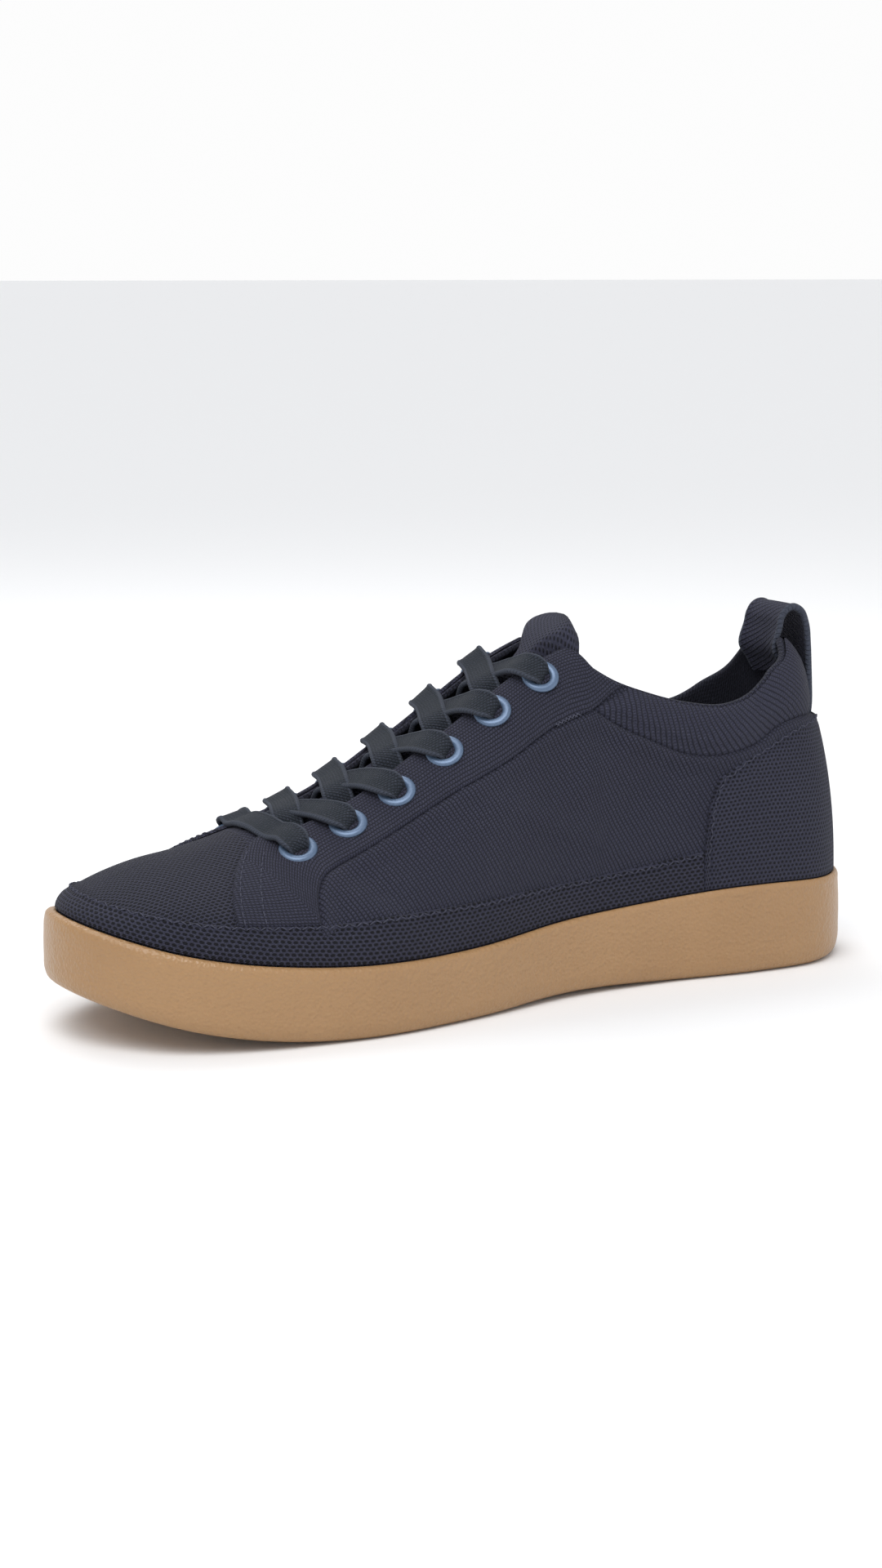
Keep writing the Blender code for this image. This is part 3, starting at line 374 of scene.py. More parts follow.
@dataclass
class Last:
    """Shape of the shoe: plan of the sole, sections of the upper and its seams.

    A turn runs from 0 at the heel back to 1 at the toe tip, positive on the medial side and
    negative on the lateral side, with the same distance from the heel on both. A rise runs
    from 0 at the sole's rim to 1 at the ridge.
    """

    toe_spring: float = 0.0150
    arch_lift: float = 0.0012
    toe_fall: float = 0.14
    rounding: float = 0.08
    rim_wall_heel: float = 0.0024
    rim_wall_toe: float = 0.0040

    def __post_init__(self) -> None:
        """Tabulate the distance from the heel back of each side's foot line."""
        self.stations = np.linspace(0, 1, 801)
        self.reach = {side: self._foot(side.value * self.stations)[:, 0] for side in Side}
        self.start = self.reach[Side.MEDIAL][0]
        self.end = self.reach[Side.MEDIAL][-1]

    def outline(self, station: np.ndarray) -> np.ndarray:
        """Plan of the sole at stations, in two columns.

        Args:
            station: Stations round the sole's plan.

        Returns:
            Distances along and across, in metres.
        """
        station = np.asarray(station, float)
        station = np.where(station > 1, station - 2, np.where(station < -1, station + 2, station))
        turn = np.abs(station)
        across = np.where(station >= 0, OUTLINE["medial"](turn), OUTLINE["lateral"](turn))
        return np.stack([(1 - np.cos(pi * station)) / 2 * LENGTH, across * BALL_WIDTH], axis=-1)

    def inset(self, station: np.ndarray, distance: np.ndarray | float) -> np.ndarray:
        """Plan of the sole moved inwards.

        Args:
            station: Stations round the sole's plan.
            distance: How far inwards.

        Returns:
            Distances along and across, in metres.
        """
        station = np.asarray(station, float)
        along = self.outline(station + 0.004) - self.outline(station - 0.004)
        normal = unit(np.stack([-along[..., 1], along[..., 0]], axis=-1))
        return self.outline(station) - normal * np.asarray(distance)[..., None]

    def tread(self, along: np.ndarray) -> np.ndarray:
        """Height of the underside: flat heel, slight arch, flat ball and toe spring.

        Args:
            along: Shares of LENGTH from the heel back.

        Returns:
            Heights over the floor.
        """
        along = np.asarray(along, float)
        spring = self.toe_spring * np.clip((along - 0.68) / 0.32, 0, 1) ** 2.1
        return spring + self.arch_lift * np.sin(pi * np.clip((along - 0.23) / 0.34, 0, 1)) ** 2

    def rim(self, along: np.ndarray) -> np.ndarray:
        """Height of the rim of the sole."""
        return self.tread(along) + WALLS["rim"](along) * SOLE_HEIGHT

    def floor(self, along: np.ndarray) -> np.ndarray:
        """Height of the cup floor."""
        return self.tread(along) + WALLS["floor"](along) * SOLE_HEIGHT

    def rim_wall(self, along: np.ndarray) -> np.ndarray:
        """Thickness of the side wall at the rim."""
        share = np.clip((along - 0.2) / 0.6, 0, 1)
        return self.rim_wall_heel + (self.rim_wall_toe - self.rim_wall_heel) * share

    def _foot(self, station: np.ndarray) -> np.ndarray:
        """Foot line of the upper at sole stations.

        Args:
            station: Stations round the sole's plan.

        Returns:
            Points where the upper meets the rim.
        """
        along = (1 - np.cos(pi * station)) / 2
        plan = self.inset(station, self.rim_wall(along) + CLEARANCE)
        return np.concatenate([plan, self.rim(along)[..., None]], axis=-1)

    def x_of(self, turn: np.ndarray) -> np.ndarray:
        """Distance from the heel back at a turn."""
        turn = np.abs(np.asarray(turn, float))
        return self.start + (self.end - self.start) * (1 - np.cos(pi * turn)) / 2

    def turn_of(self, x: np.ndarray | float) -> np.ndarray:
        """Turn at a distance from the heel back."""
        share = np.clip((np.asarray(x, float) - self.start) / (self.end - self.start), 0, 1)
        return np.arccos(1 - 2 * share) / pi

    def station_of(self, turn: np.ndarray) -> np.ndarray:
        """Sole station that lies at a turn's distance from the heel back.

        Args:
            turn: Turns of the places.

        Returns:
            Stations of the same sign as the turns.
        """
        turn = np.asarray(turn, float)
        x = self.x_of(turn)
        medial = np.interp(x, self.reach[Side.MEDIAL], self.stations)
        lateral = np.interp(x, self.reach[Side.LATERAL], self.stations)
        return np.where(turn >= 0, medial, -lateral)

    def ridge(self, x: np.ndarray) -> np.ndarray:
        """Ridge points at distances from the heel back.

        Args:
            x: Distances from the heel back.

        Returns:
            Points along the ridge.
        """
        x = np.clip(x, HEEL_POLE, TOE_POLE)
        along = x / LENGTH
        return np.stack([x, RIDGE["centre"](along) * BALL_WIDTH, RIDGE["height"](along) * INSTEP_HEIGHT], -1)

    def section(self, turn: np.ndarray) -> tuple[np.ndarray, np.ndarray, np.ndarray, np.ndarray]:
        """Foot point, ridge point, fullness and steepness of the sections at turns.

        Args:
            turn: Turns of the places.

        Returns:
            One row for each turn in each of the four.
        """
        station = self.station_of(turn)
        foot = self._foot(station)
        along = (1 - np.cos(pi * station)) / 2
        full = np.where(np.asarray(turn) >= 0, RIDGE["medial"](along), RIDGE["lateral"](along))
        return foot, self.ridge(foot[..., 0]), full, RIDGE["steep"](along)

    def point(self, turn: np.ndarray, rise: np.ndarray) -> np.ndarray:
        """Points of the last.

        Args:
            turn: Turns of the places.
            rise: Rises of the places.

        Returns:
            Points in heel-back measure.
        """
        foot, ridge, full, steep = self.section(turn)
        angle = np.clip(rise, 0, 1) * pi / 2
        spread = np.sqrt(1 + self.rounding**2) - self.rounding
        share = np.maximum(np.cos(angle), 0) ** (2 / full)
        share = np.sqrt(np.maximum((share * spread + self.rounding) ** 2 - self.rounding**2, 0))
        point = ridge + (foot - ridge) * share[..., None]
        top = ridge[..., 2] - self.toe_fall * np.maximum(point[..., 0] - TOE_POLE, 0)
        point[..., 2] = foot[..., 2] + (top - foot[..., 2]) * np.sin(angle) ** (2 / steep)
        return point

    def normal(self, turn: np.ndarray, rise: np.ndarray) -> np.ndarray:
        """Outward unit normals of the last.

        Args:
            turn: Turns of the places.
            rise: Rises of the places.

        Returns:
            One unit vector for each place.
        """
        turn = np.asarray(turn, float)
        rise = np.clip(rise, 0.006, 0.988)
        step = 0.004
        around = self.point(turn + step, rise) - self.point(turn - step, rise)
        up = self.point(turn, rise + step) - self.point(turn, rise - step)
        return unit(np.cross(up, around))

    def rise_at_height(self, turn: np.ndarray, height: np.ndarray) -> np.ndarray:
        """Rise at which the sections reach a height.

        Args:
            turn: Turns of the places.
            height: Heights over the floor.

        Returns:
            Rises from 0 to 1.
        """
        foot, ridge, _, steep = self.section(turn)
        share = np.clip((height - foot[..., 2]) / (ridge[..., 2] - foot[..., 2]), 0, 1)
        return np.arcsin(share ** (steep / 2)) * 2 / pi

    def rise_at_half(self, turn: np.ndarray, half: np.ndarray) -> np.ndarray:
        """Rise at which the sections come within a distance of the ridge, in plan.

        Args:
            turn: Turns of the places.
            half: Distances from the ridge.

        Returns:
            Rises from 0 to 1.
        """
        foot, ridge, full, _ = self.section(turn)
        width = np.linalg.norm((foot - ridge)[..., :2], axis=-1)
        ratio = np.clip(np.asarray(half) / np.maximum(width, 1e-9), 0, 1)
        spread = np.sqrt(1 + self.rounding**2) - self.rounding
        ratio = (np.sqrt(ratio**2 + self.rounding**2) - self.rounding) / spread
        return np.arccos(np.clip(ratio ** (full / 2), 0, 1)) * 2 / pi

    def rise_at_length(self, turn: np.ndarray, length: np.ndarray) -> np.ndarray:
        """Rise at which the sections have run a length up from the rim.

        Args:
            turn: Turns of the places.
            length: Lengths up from the rim.

        Returns:
            Rises from 0 to 1.
        """
        turn = np.atleast_1d(np.asarray(turn, float))
        length = np.broadcast_to(length, turn.shape)
        rises = np.linspace(0, 1, 121)
        points = self.point(turn[:, None], rises[None, :])
        run = np.cumsum(np.linalg.norm(np.diff(points, axis=1), axis=-1), axis=1)
        run = np.concatenate([np.zeros((len(turn), 1)), run], axis=1)
        return np.array([np.interp(want, row, rises) for want, row in zip(length, run)])

    def guard(self, turn: np.ndarray) -> np.ndarray:
        """Rise of the mudguard's upper edge."""
        turn = np.atleast_1d(turn)
        return self.rise_at_length(turn, GUARD["height"](self.x_of(turn) / LENGTH) * SOLE_HEIGHT)

    def edge(self, turn: np.ndarray) -> np.ndarray:
        """Rise of the free edge at collar and throat, 1 where the upper is closed.

        Args:
            turn: Turns of the places.

        Returns:
            Rises from 0 to 1.
        """
        turn = np.atleast_1d(np.asarray(turn, float))
        x = self.x_of(turn)
        along = x / LENGTH
        height = np.where(turn >= 0, COLLAR["edge_medial"](along), COLLAR["edge_lateral"](along))
        collar = self.rise_at_height(turn, height * INSTEP_HEIGHT)
        ahead = np.clip((THROAT_FRONT - x) / (0.8 * THROAT_HALF), 0, 1)
        throat = self.rise_at_half(turn, THROAT_HALF * np.sqrt(1 - (1 - ahead) ** 2))
        blend = ease((along - 0.366) / 0.034)
        return np.where(x > THROAT_FRONT, 1.0, collar * (1 - blend) + throat * blend)

    def seam(self, turn: np.ndarray) -> np.ndarray:
        """Rise of the seam below collar band and eyestay, kept above the mudguard.

        Args:
            turn: Turns of the places.

        Returns:
            Rises from 0 to 1.
        """
        turn = np.atleast_1d(np.asarray(turn, float))
        along = self.x_of(turn) / LENGTH
        collar = np.where(turn >= 0, COLLAR["seam_medial"](along), COLLAR["seam_lateral"](along))
        stay = STAY_SEAM["height"](along) - np.where(turn >= 0, 0.0, STAY_SEAM["drop"](along))
        height = np.where(along <= APEX, collar, stay) * INSTEP_HEIGHT
        return np.maximum(self.rise_at_height(turn, height), self.guard(turn) * 0.96)

    def seam_line(self, side: Side) -> np.ndarray:
        """Eyestay's seam as turns and rises, from the collar's edge to the mudguard.

        Args:
            side: Side of the shoe.

        Returns:
            One row of turn and rise for each place.
        """
        along = spline(np.array([(*row[:2], 0.0) for row in STAY_SEAM.rows]), 14)[:, 0]
        turn = side.value * self.turn_of(along * LENGTH)
        height = STAY_SEAM["height"](along) - (STAY_SEAM["drop"](along) if side is Side.LATERAL else 0.0)
        rise = np.maximum(self.rise_at_height(turn, height * INSTEP_HEIGHT), self.guard(turn) * 0.96)
        return np.stack([turn, np.minimum(rise, self.edge(turn))], axis=-1)

    def tuck(self, turn: np.ndarray) -> np.ndarray:
        """Most that the heel is drawn in above the counter."""
        return HEEL_TUCK * np.clip(1 - self.x_of(turn) / HEEL_POLE, 0, 1) ** 2

    def over(self, x: float, y: float) -> tuple[np.ndarray, np.ndarray]:
        """Point and normal of the last above a point of the plan.

        Args:
            x: Distance from the heel back.
            y: Distance across, medial side positive.

        Returns:
            The point and its unit normal.
        """
        ridge = self.ridge(np.array(x))
        side = 1 if y >= ridge[1] else -1
        turn = side * self.turn_of(x)
        rise = self.rise_at_half(turn, abs(y - ridge[1]))
        return self.point(turn, rise), self.normal(turn, rise)


LAST = Last()


class Nodes:
    """Short ways to place and join the nodes of one shader tree."""

    def __init__(self, tree: bpy.types.NodeTree) -> None:
        """Keep the tree."""
        self.tree = tree

    def put(self, socket: bpy.types.NodeSocket, value: object) -> None:
        """Join a value to a socket: another socket, a number or a colour.

        Args:
            socket: Input to fill.
            value: Socket, number or colour; None leaves it as it is.
        """
        if isinstance(value, bpy.types.NodeSocket):
            self.tree.links.new(value, socket)
        elif value is not None:
            socket.default_value = value

    def add(self, kind: str, inputs: dict | None = None, **settings: object) -> bpy.types.Node:
        """Add a node, set its properties and join its inputs by name.

        Args:
            kind: Type of the node without its prefix.
            inputs: Values of inputs by name.
            settings: Properties of the node.

        Returns:
            The new node.
        """
        node = self.tree.nodes.new("ShaderNode" + kind)
        for name, value in settings.items():
            setattr(node, name, value)
        for name, value in (inputs or {}).items():
            self.put(node.inputs[name], value)
        return node

    def math(self, operation: str, a: object, b: object = None, c: object = None) -> bpy.types.NodeSocket:
        """Result of a Math node.

        Args:
            operation: What the node works out.
            a: First value.
            b: Second value.
            c: Third value.

        Returns:
            Socket of the result.
        """
        node = self.add("Math", operation=operation)
        for socket, value in zip(node.inputs, (a, b, c)):
            self.put(socket, value)
        return node.outputs[0]

    def between(self, value: object, low: object, high: object) -> bpy.types.NodeSocket:
        """Smooth step of a value from low to high, as 0 to 1.

        Args:
            value: Value to judge.
            low: Where it gives 0.
            high: Where it gives 1.

        Returns:
            Socket of the result.
        """
        node = self.add("MapRange", interpolation_type="SMOOTHSTEP")
        for name, given in (("Value", value), ("From Min", low), ("From Max", high)):
            self.put(node.inputs[name], given)
        return node.outputs["Result"]

    def mix(self, factor: object, a: object, b: object, blend: str = "MIX") -> bpy.types.NodeSocket:
        """Mixed colour.

        Args:
            factor: Share of the second colour.
            a: First colour.
            b: Second colour.
            blend: How the colours are mixed.

        Returns:
            Socket of the colour.
        """
        node = self.add("Mix", data_type="RGBA", blend_type=blend)
        self.put(node.inputs[0], factor)
        self.put(node.inputs[6], a)
        self.put(node.inputs[7], b)
        return node.outputs[2]

    def noise(self, vector: object, scale: object, detail: float = 2.0) -> bpy.types.NodeSocket:
        """Noise value."""
        node = self.add("TexNoise", {"Scale": scale, "Detail": detail, "Vector": vector})
        return node.outputs["Fac"]

    def split(self, vector: object) -> tuple[bpy.types.NodeSocket, bpy.types.NodeSocket]:
        """First two parts of a vector."""
        node = self.add("SeparateXYZ", {"Vector": vector})
        return node.outputs["X"], node.outputs["Y"]


class Effect:
    """Base of the shader groups that several finishes share."""

    name = "Effect"
    inputs: dict[str, tuple[str, object]] = {}
    outputs: dict[str, str] = {}

    @classmethod
    def tree(cls) -> bpy.types.NodeTree:
        """The group's tree, made once.

        Returns:
            The node group.
        """
        found = bpy.data.node_groups.get(cls.name)
        if found:
            return found
        tree = bpy.data.node_groups.new(cls.name, "ShaderNodeTree")
        for name, (kind, value) in cls.inputs.items():
            socket = tree.interface.new_socket(name, in_out="INPUT", socket_type="NodeSocket" + kind)
            if value is not None:
                socket.default_value = value
        for name, kind in cls.outputs.items():
            tree.interface.new_socket(name, in_out="OUTPUT", socket_type="NodeSocket" + kind)
        graph = Nodes(tree)
        given = tree.nodes.new("NodeGroupInput")
        results = cls.wire(graph, given.outputs)
        end = tree.nodes.new("NodeGroupOutput")
        for name, socket in results.items():
            graph.put(end.inputs[name], socket)
        return tree

    @classmethod
    def wire(cls, graph: Nodes, given: bpy.types.bpy_prop_collection) -> dict:
        """Place the group's nodes and name its results."""
        raise NotImplementedError

    @classmethod
    def use(cls, graph: Nodes, **values: object) -> bpy.types.bpy_prop_collection:
        """Add the group to a material and join its inputs, with _ for a space in a name.

        Args:
            graph: Helper of the material's tree.
            values: Values of the group's inputs.

        Returns:
            Sockets of the group's outputs.
        """
        node = graph.tree.nodes.new("ShaderNodeGroup")
        node.node_tree = cls.tree()
        for name, value in values.items():
            graph.put(node.inputs[name.replace("_", " ")], value)
        return node.outputs


class Holes(Effect):
    """Rows of open holes in a knit, with yarn ridges between them."""

    name = "Knit holes"
    inputs = {
        "Vector": ("Vector", None),
        "Pitch Along": ("Float", 0.002),
        "Pitch Up": ("Float", 0.002),
        "Stagger": ("Float", 0.5),
        "Size": ("Float", 0.3),
    }
    outputs = {"Hole": "Float", "Height": "Float"}

    @classmethod
    def wire(cls, graph: Nodes, given: bpy.types.bpy_prop_collection) -> dict:
        """Cell coordinates, shifted every second row, give a soft round hole.

        Args:
            graph: Helper of the group's tree.
            given: Sockets of the group's inputs.

        Returns:
            Sockets of the group's outputs by name.
        """
        wobble = graph.add("TexNoise", {"Scale": 260.0, "Detail": 1.0, "Vector": given["Vector"]})
        shift = graph.add("VectorMath", operation="SUBTRACT")
        graph.put(shift.inputs[0], wobble.outputs["Color"])
        shift.inputs[1].default_value = (0.5, 0.5, 0.5)
        scaled = graph.add("VectorMath", operation="SCALE")
        graph.put(scaled.inputs[0], shift.outputs[0])
        scaled.inputs["Scale"].default_value = 0.0007
        moved = graph.add("VectorMath", operation="ADD")
        graph.put(moved.inputs[0], given["Vector"])
        graph.put(moved.inputs[1], scaled.outputs[0])
        along, up = graph.split(moved.outputs[0])
        row = graph.math("DIVIDE", up, given["Pitch Up"])
        odd = graph.math("PINGPONG", graph.math("FLOOR", row), 1.0)
        column = graph.math("DIVIDE", along, given["Pitch Along"])
        column = graph.math("ADD", column, graph.math("MULTIPLY", odd, given["Stagger"]))
        a = graph.math("SUBTRACT", graph.math("FRACT", column), 0.5)
        b = graph.math("SUBTRACT", graph.math("FRACT", row), 0.5)
        square = graph.math("ADD", graph.math("MULTIPLY", a, a), graph.math("MULTIPLY", b, b))
        distance = graph.math("SQRT", square)
        grown = graph.math("ADD", given["Size"], 0.16)
        shrunk = graph.math("SUBTRACT", given["Size"], 0.08)
        hole = graph.math("SUBTRACT", 1.0, graph.between(distance, shrunk, grown))
        yarn = graph.math("SINE", graph.math("MULTIPLY", graph.math("ADD", column, row), 4 * pi))
        height = graph.math("ADD", graph.math("MULTIPLY", yarn, 0.16), graph.math("MULTIPLY", hole, -1.0))
        return {"Hole": hole, "Height": height}


class Ribs(Effect):
    """Slanted rows of small stitches, as in a rib knit or a twill tape."""

    name = "Knit ribs"
    inputs = {
        "Vector": ("Vector", None),
        "Pitch": ("Float", 0.0012),
        "Angle": ("Float", 0.0),
        "Stitch": ("Float", 0.0016),
        "Break": ("Float", 0.5),
    }
    outputs = {"Groove": "Float", "Height": "Float"}

    @classmethod
    def wire(cls, graph: Nodes, given: bpy.types.bpy_prop_collection) -> dict:
        """Ribs run across the turned first way, and gaps part their stitches.

        Args:
            graph: Helper of the group's tree.
            given: Sockets of the group's inputs.

        Returns:
            Sockets of the group's outputs by name.
        """
        turned = graph.add("VectorRotate", {"Vector": given["Vector"], "Angle": given["Angle"]},
                           rotation_type="Z_AXIS")
        along, up = graph.split(turned.outputs[0])
        sway = graph.math("SUBTRACT", graph.noise(given["Vector"], 320.0, 1.0), 0.5)
        rib = graph.math("DIVIDE", graph.math("MULTIPLY_ADD", sway, 0.0005, along), given["Pitch"])
        odd = graph.math("PINGPONG", graph.math("FLOOR", rib), 1.0)
        tick = graph.math("MULTIPLY_ADD", odd, 0.5, graph.math("DIVIDE", up, given["Stitch"]))
        ridge = graph.math("ABSOLUTE", graph.math("SUBTRACT", graph.math("FRACT", rib), 0.5))
        lean = graph.math("MULTIPLY_ADD", ridge, 0.7, tick)
        knot = graph.math("ABSOLUTE", graph.math("SUBTRACT", graph.math("FRACT", lean), 0.5))
        groove = graph.between(ridge, 0.24, 0.50)
        gap = graph.math("MULTIPLY", graph.between(knot, 0.26, 0.48), given["Break"])
        # Grooves and stitch gaps: low in the bump, and darkened with painted shade by the cloth finishes
        dark = graph.math("MAXIMUM", groove, gap)
        return {"Groove": dark, "Height": graph.math("SUBTRACT", 1.0, dark)}


class Grain(Effect):
    """Fine leathery grain of moulded rubber with broad soft unevenness."""

    name = "Moulded grain"
    inputs = {"Vector": ("Vector", None), "Fine": ("Float", 900.0), "Broad": ("Float", 60.0)}
    outputs = {"Height": "Float", "Tone": "Float"}

    @classmethod
    def wire(cls, graph: Nodes, given: bpy.types.bpy_prop_collection) -> dict:
        """Cell edges give the grain and slow noise the unevenness.

        Args:
            graph: Helper of the group's tree.
            given: Sockets of the group's inputs.

        Returns:
            Sockets of the group's outputs by name.
        """
        cells = graph.add("TexVoronoi", {"Vector": given["Vector"], "Scale": given["Fine"]})
        cells.feature = "F1"
        fine = graph.math("MULTIPLY", cells.outputs["Distance"], 0.5)
        pits = graph.noise(given["Vector"], graph.math("MULTIPLY", given["Fine"], 0.45), 4.0)
        broad = graph.noise(given["Vector"], given["Broad"], 3.0)
        height = graph.math("ADD", graph.math("MULTIPLY", pits, 0.7), fine)
        return {"Height": graph.math("ADD", height, graph.math("MULTIPLY", broad, 0.3)), "Tone": broad}


class Fade(Effect):
    """Slow change of tone and fine flecks over a dyed cloth, and painted shade in its holes and grooves."""

    name = "Cloth fade"
    inputs = {
        "Vector": ("Vector", None),
        "Cloth": ("Color", (0.03, 0.03, 0.05, 1.0)),
        # Dark colour of the painted shade in holes and grooves; Shade says how much of it is mixed in
        "Deep": ("Color", (0.005, 0.005, 0.01, 1.0)),
        "Shade": ("Float", 0.0),
    }
    outputs = {"Color": "Color"}

    @classmethod
    def wire(cls, graph: Nodes, given: bpy.types.bpy_prop_collection) -> dict:
        """Lighten with noise, fleck, then darken holes and grooves with painted shade.

        Args:
            graph: Helper of the group's tree.
            given: Sockets of the group's inputs.

        Returns:
            Sockets of the group's outputs by name.
        """
        slow = graph.between(graph.noise(given["Vector"], 28.0, 3.0), 0.35, 0.70)
        fleck = graph.between(graph.noise(given["Vector"], 1700.0, 1.0), 0.52, 0.72)
        light = graph.mix(0.5, given["Cloth"], (0.050, 0.052, 0.080, 1.0))
        tone = graph.mix(graph.math("MULTIPLY", slow, 0.35), given["Cloth"], light)
        tone = graph.mix(graph.math("MULTIPLY", fleck, 0.35), tone, (0.078, 0.081, 0.118, 1.0))
        # Painted shade: the dark colour mixed in over the holes and grooves
        return {"Color": graph.mix(given["Shade"], tone, given["Deep"])}


class Weave(Enum):
    """Named patterns of the shoe's cloths."""

    HOLES = "holes"
    RIBS = "ribs"


@dataclass(frozen=True)
class ClothFinish:
    """Dyed cloth with a knitted pattern laid out in metres on the piece's own map, and painted shade in its
    holes and grooves.
    """

    name: str
    weave: Weave
    cloth: Colour = (0.029, 0.030, 0.052, 1.0)
    # Dark colour of the painted shade in holes and grooves
    deep: Colour = (0.003, 0.003, 0.006, 1.0)
    along: float = 0.0018
    up: float = 0.0018
    size: float = 0.26
    angle: float = 0.0
    gaps: float = 0.5
    depth: float = 0.00045
    shade: float = 0.85
    roughness: float = 0.86
    sheen: float = 0.03
    selvedge: float = 0.0

    def build(self) -> bpy.types.Material:
        """Make the material.

        Returns:
            The material.
        """
        material, graph, shader = new_material(self.name)
        place = graph.add("UVMap", uv_map="UVMap").outputs["UV"]
        if self.weave is Weave.HOLES:
            out = Holes.use(graph, Vector=place, Pitch_Along=self.along, Pitch_Up=self.up,
                            Stagger=0.5, Size=self.size)
            # Painted shade in the holes
            shade = graph.math("MULTIPLY", out["Hole"], self.shade)
        else:
            out = Ribs.use(graph, Vector=place, Pitch=self.along, Angle=self.angle,
                           Stitch=self.up, Break=self.gaps)
            # Painted shade in the rib grooves and stitch gaps
            shade = graph.math("MULTIPLY", out["Groove"], self.shade)
        fade = Fade.use(graph, Vector=place, Cloth=self.cloth, Deep=self.deep, Shade=shade)
        colour = fade["Color"]
        if self.selvedge:
            away = graph.math("ABSOLUTE", graph.split(place)[1])
            edge = graph.between(away, self.selvedge - 0.0002, self.selvedge + 0.0003)
            colour = graph.mix(graph.math("MULTIPLY", edge, 0.75), colour, (0.050, 0.058, 0.080, 1.0))
        graph.put(shader.inputs["Base Color"], colour)
        bump = graph.add("Bump", {"Height": out["Height"], "Strength": 0.8, "Distance": self.depth})
        graph.put(shader.inputs["Normal"], bump.outputs["Normal"])
        shader.inputs["Roughness"].default_value = self.roughness
        shader.inputs["Sheen Weight"].default_value = self.sheen
        shader.inputs["Sheen Roughness"].default_value = 0.5
        shader.inputs["Specular IOR Level"].default_value = 0.25
        return material


@dataclass(frozen=True)
class RubberFinish:
    """Gum rubber with a fine moulded grain."""

    name: str
    colour: Colour = (0.355, 0.205, 0.092, 1.0)
    worn: Colour = (0.295, 0.165, 0.072, 1.0)
    roughness: float = 0.38

    def build(self) -> bpy.types.Material:
        """Make the material.

        Returns:
            The material.
        """
        material, graph, shader = new_material(self.name)
        place = graph.add("TexCoord").outputs["Object"]
        grain = Grain.use(graph, Vector=place, Fine=950.0, Broad=22.0)
        tone = graph.between(grain["Tone"], 0.3, 0.75)
        mixed = graph.mix(graph.math("MULTIPLY", tone, 0.45), self.colour, self.worn)
        graph.put(shader.inputs["Base Color"], mixed)
        bump = graph.add("Bump", {"Height": grain["Height"], "Strength": 0.8, "Distance": 0.0006})
        graph.put(shader.inputs["Normal"], bump.outputs["Normal"])
        rough = graph.math("MULTIPLY_ADD", grain["Tone"], 0.16, self.roughness - 0.08)
        graph.put(shader.inputs["Roughness"], rough)
        shader.inputs["Subsurface Weight"].default_value = 0.06
        shader.inputs["Subsurface Radius"].default_value = (0.004, 0.002, 0.001)
        return material


@dataclass(frozen=True)
class EnamelFinish:
    """Satin blue enamel over metal, flecked a little paler at random."""

    name: str
    colour: Colour = (0.100, 0.150, 0.240, 1.0)
    pale: Colour = (0.14, 0.20, 0.29, 1.0)

    def build(self) -> bpy.types.Material:
        """Make the material.

        Returns:
            The material.
        """
        material, graph, shader = new_material(self.name)
        place = graph.add("TexCoord").outputs["Object"]
        fine = graph.noise(place, 1500.0, 3.0)
        mixed = graph.mix(graph.math("MULTIPLY", graph.between(fine, 0.4, 0.7), 0.4), self.colour, self.pale)
        graph.put(shader.inputs["Base Color"], mixed)
        graph.put(shader.inputs["Roughness"], graph.math("MULTIPLY_ADD", fine, 0.15, 0.27))
        bump = graph.add("Bump", {"Height": fine, "Strength": 0.2, "Distance": 0.0001})
        graph.put(shader.inputs["Normal"], bump.outputs["Normal"])
        shader.inputs["Metallic"].default_value = 0.35
        return material


@dataclass(frozen=True)
class FloorFinish:
    """Plain pale studio floor."""

    name: str
    colour: Colour = (0.90, 0.90, 0.90, 1.0)

    def build(self) -> bpy.types.Material:
        """Make the material.

        Returns:
            The material.
        """
        material, graph, shader = new_material(self.name)
        shader.inputs["Base Color"].default_value = self.colour
        shader.inputs["Roughness"].default_value = 0.9
        return material


def new_material(name: str) -> tuple[bpy.types.Material, Nodes, bpy.types.Node]:
    """New material with its tree's helper and its Principled shader.

    Args:
        name: Name of the material.

    Returns:
        Material, helper and shader.
    """
    material = bpy.data.materials.new(name)
    material.use_nodes = True
    return material, Nodes(material.node_tree), material.node_tree.nodes["Principled BSDF"]


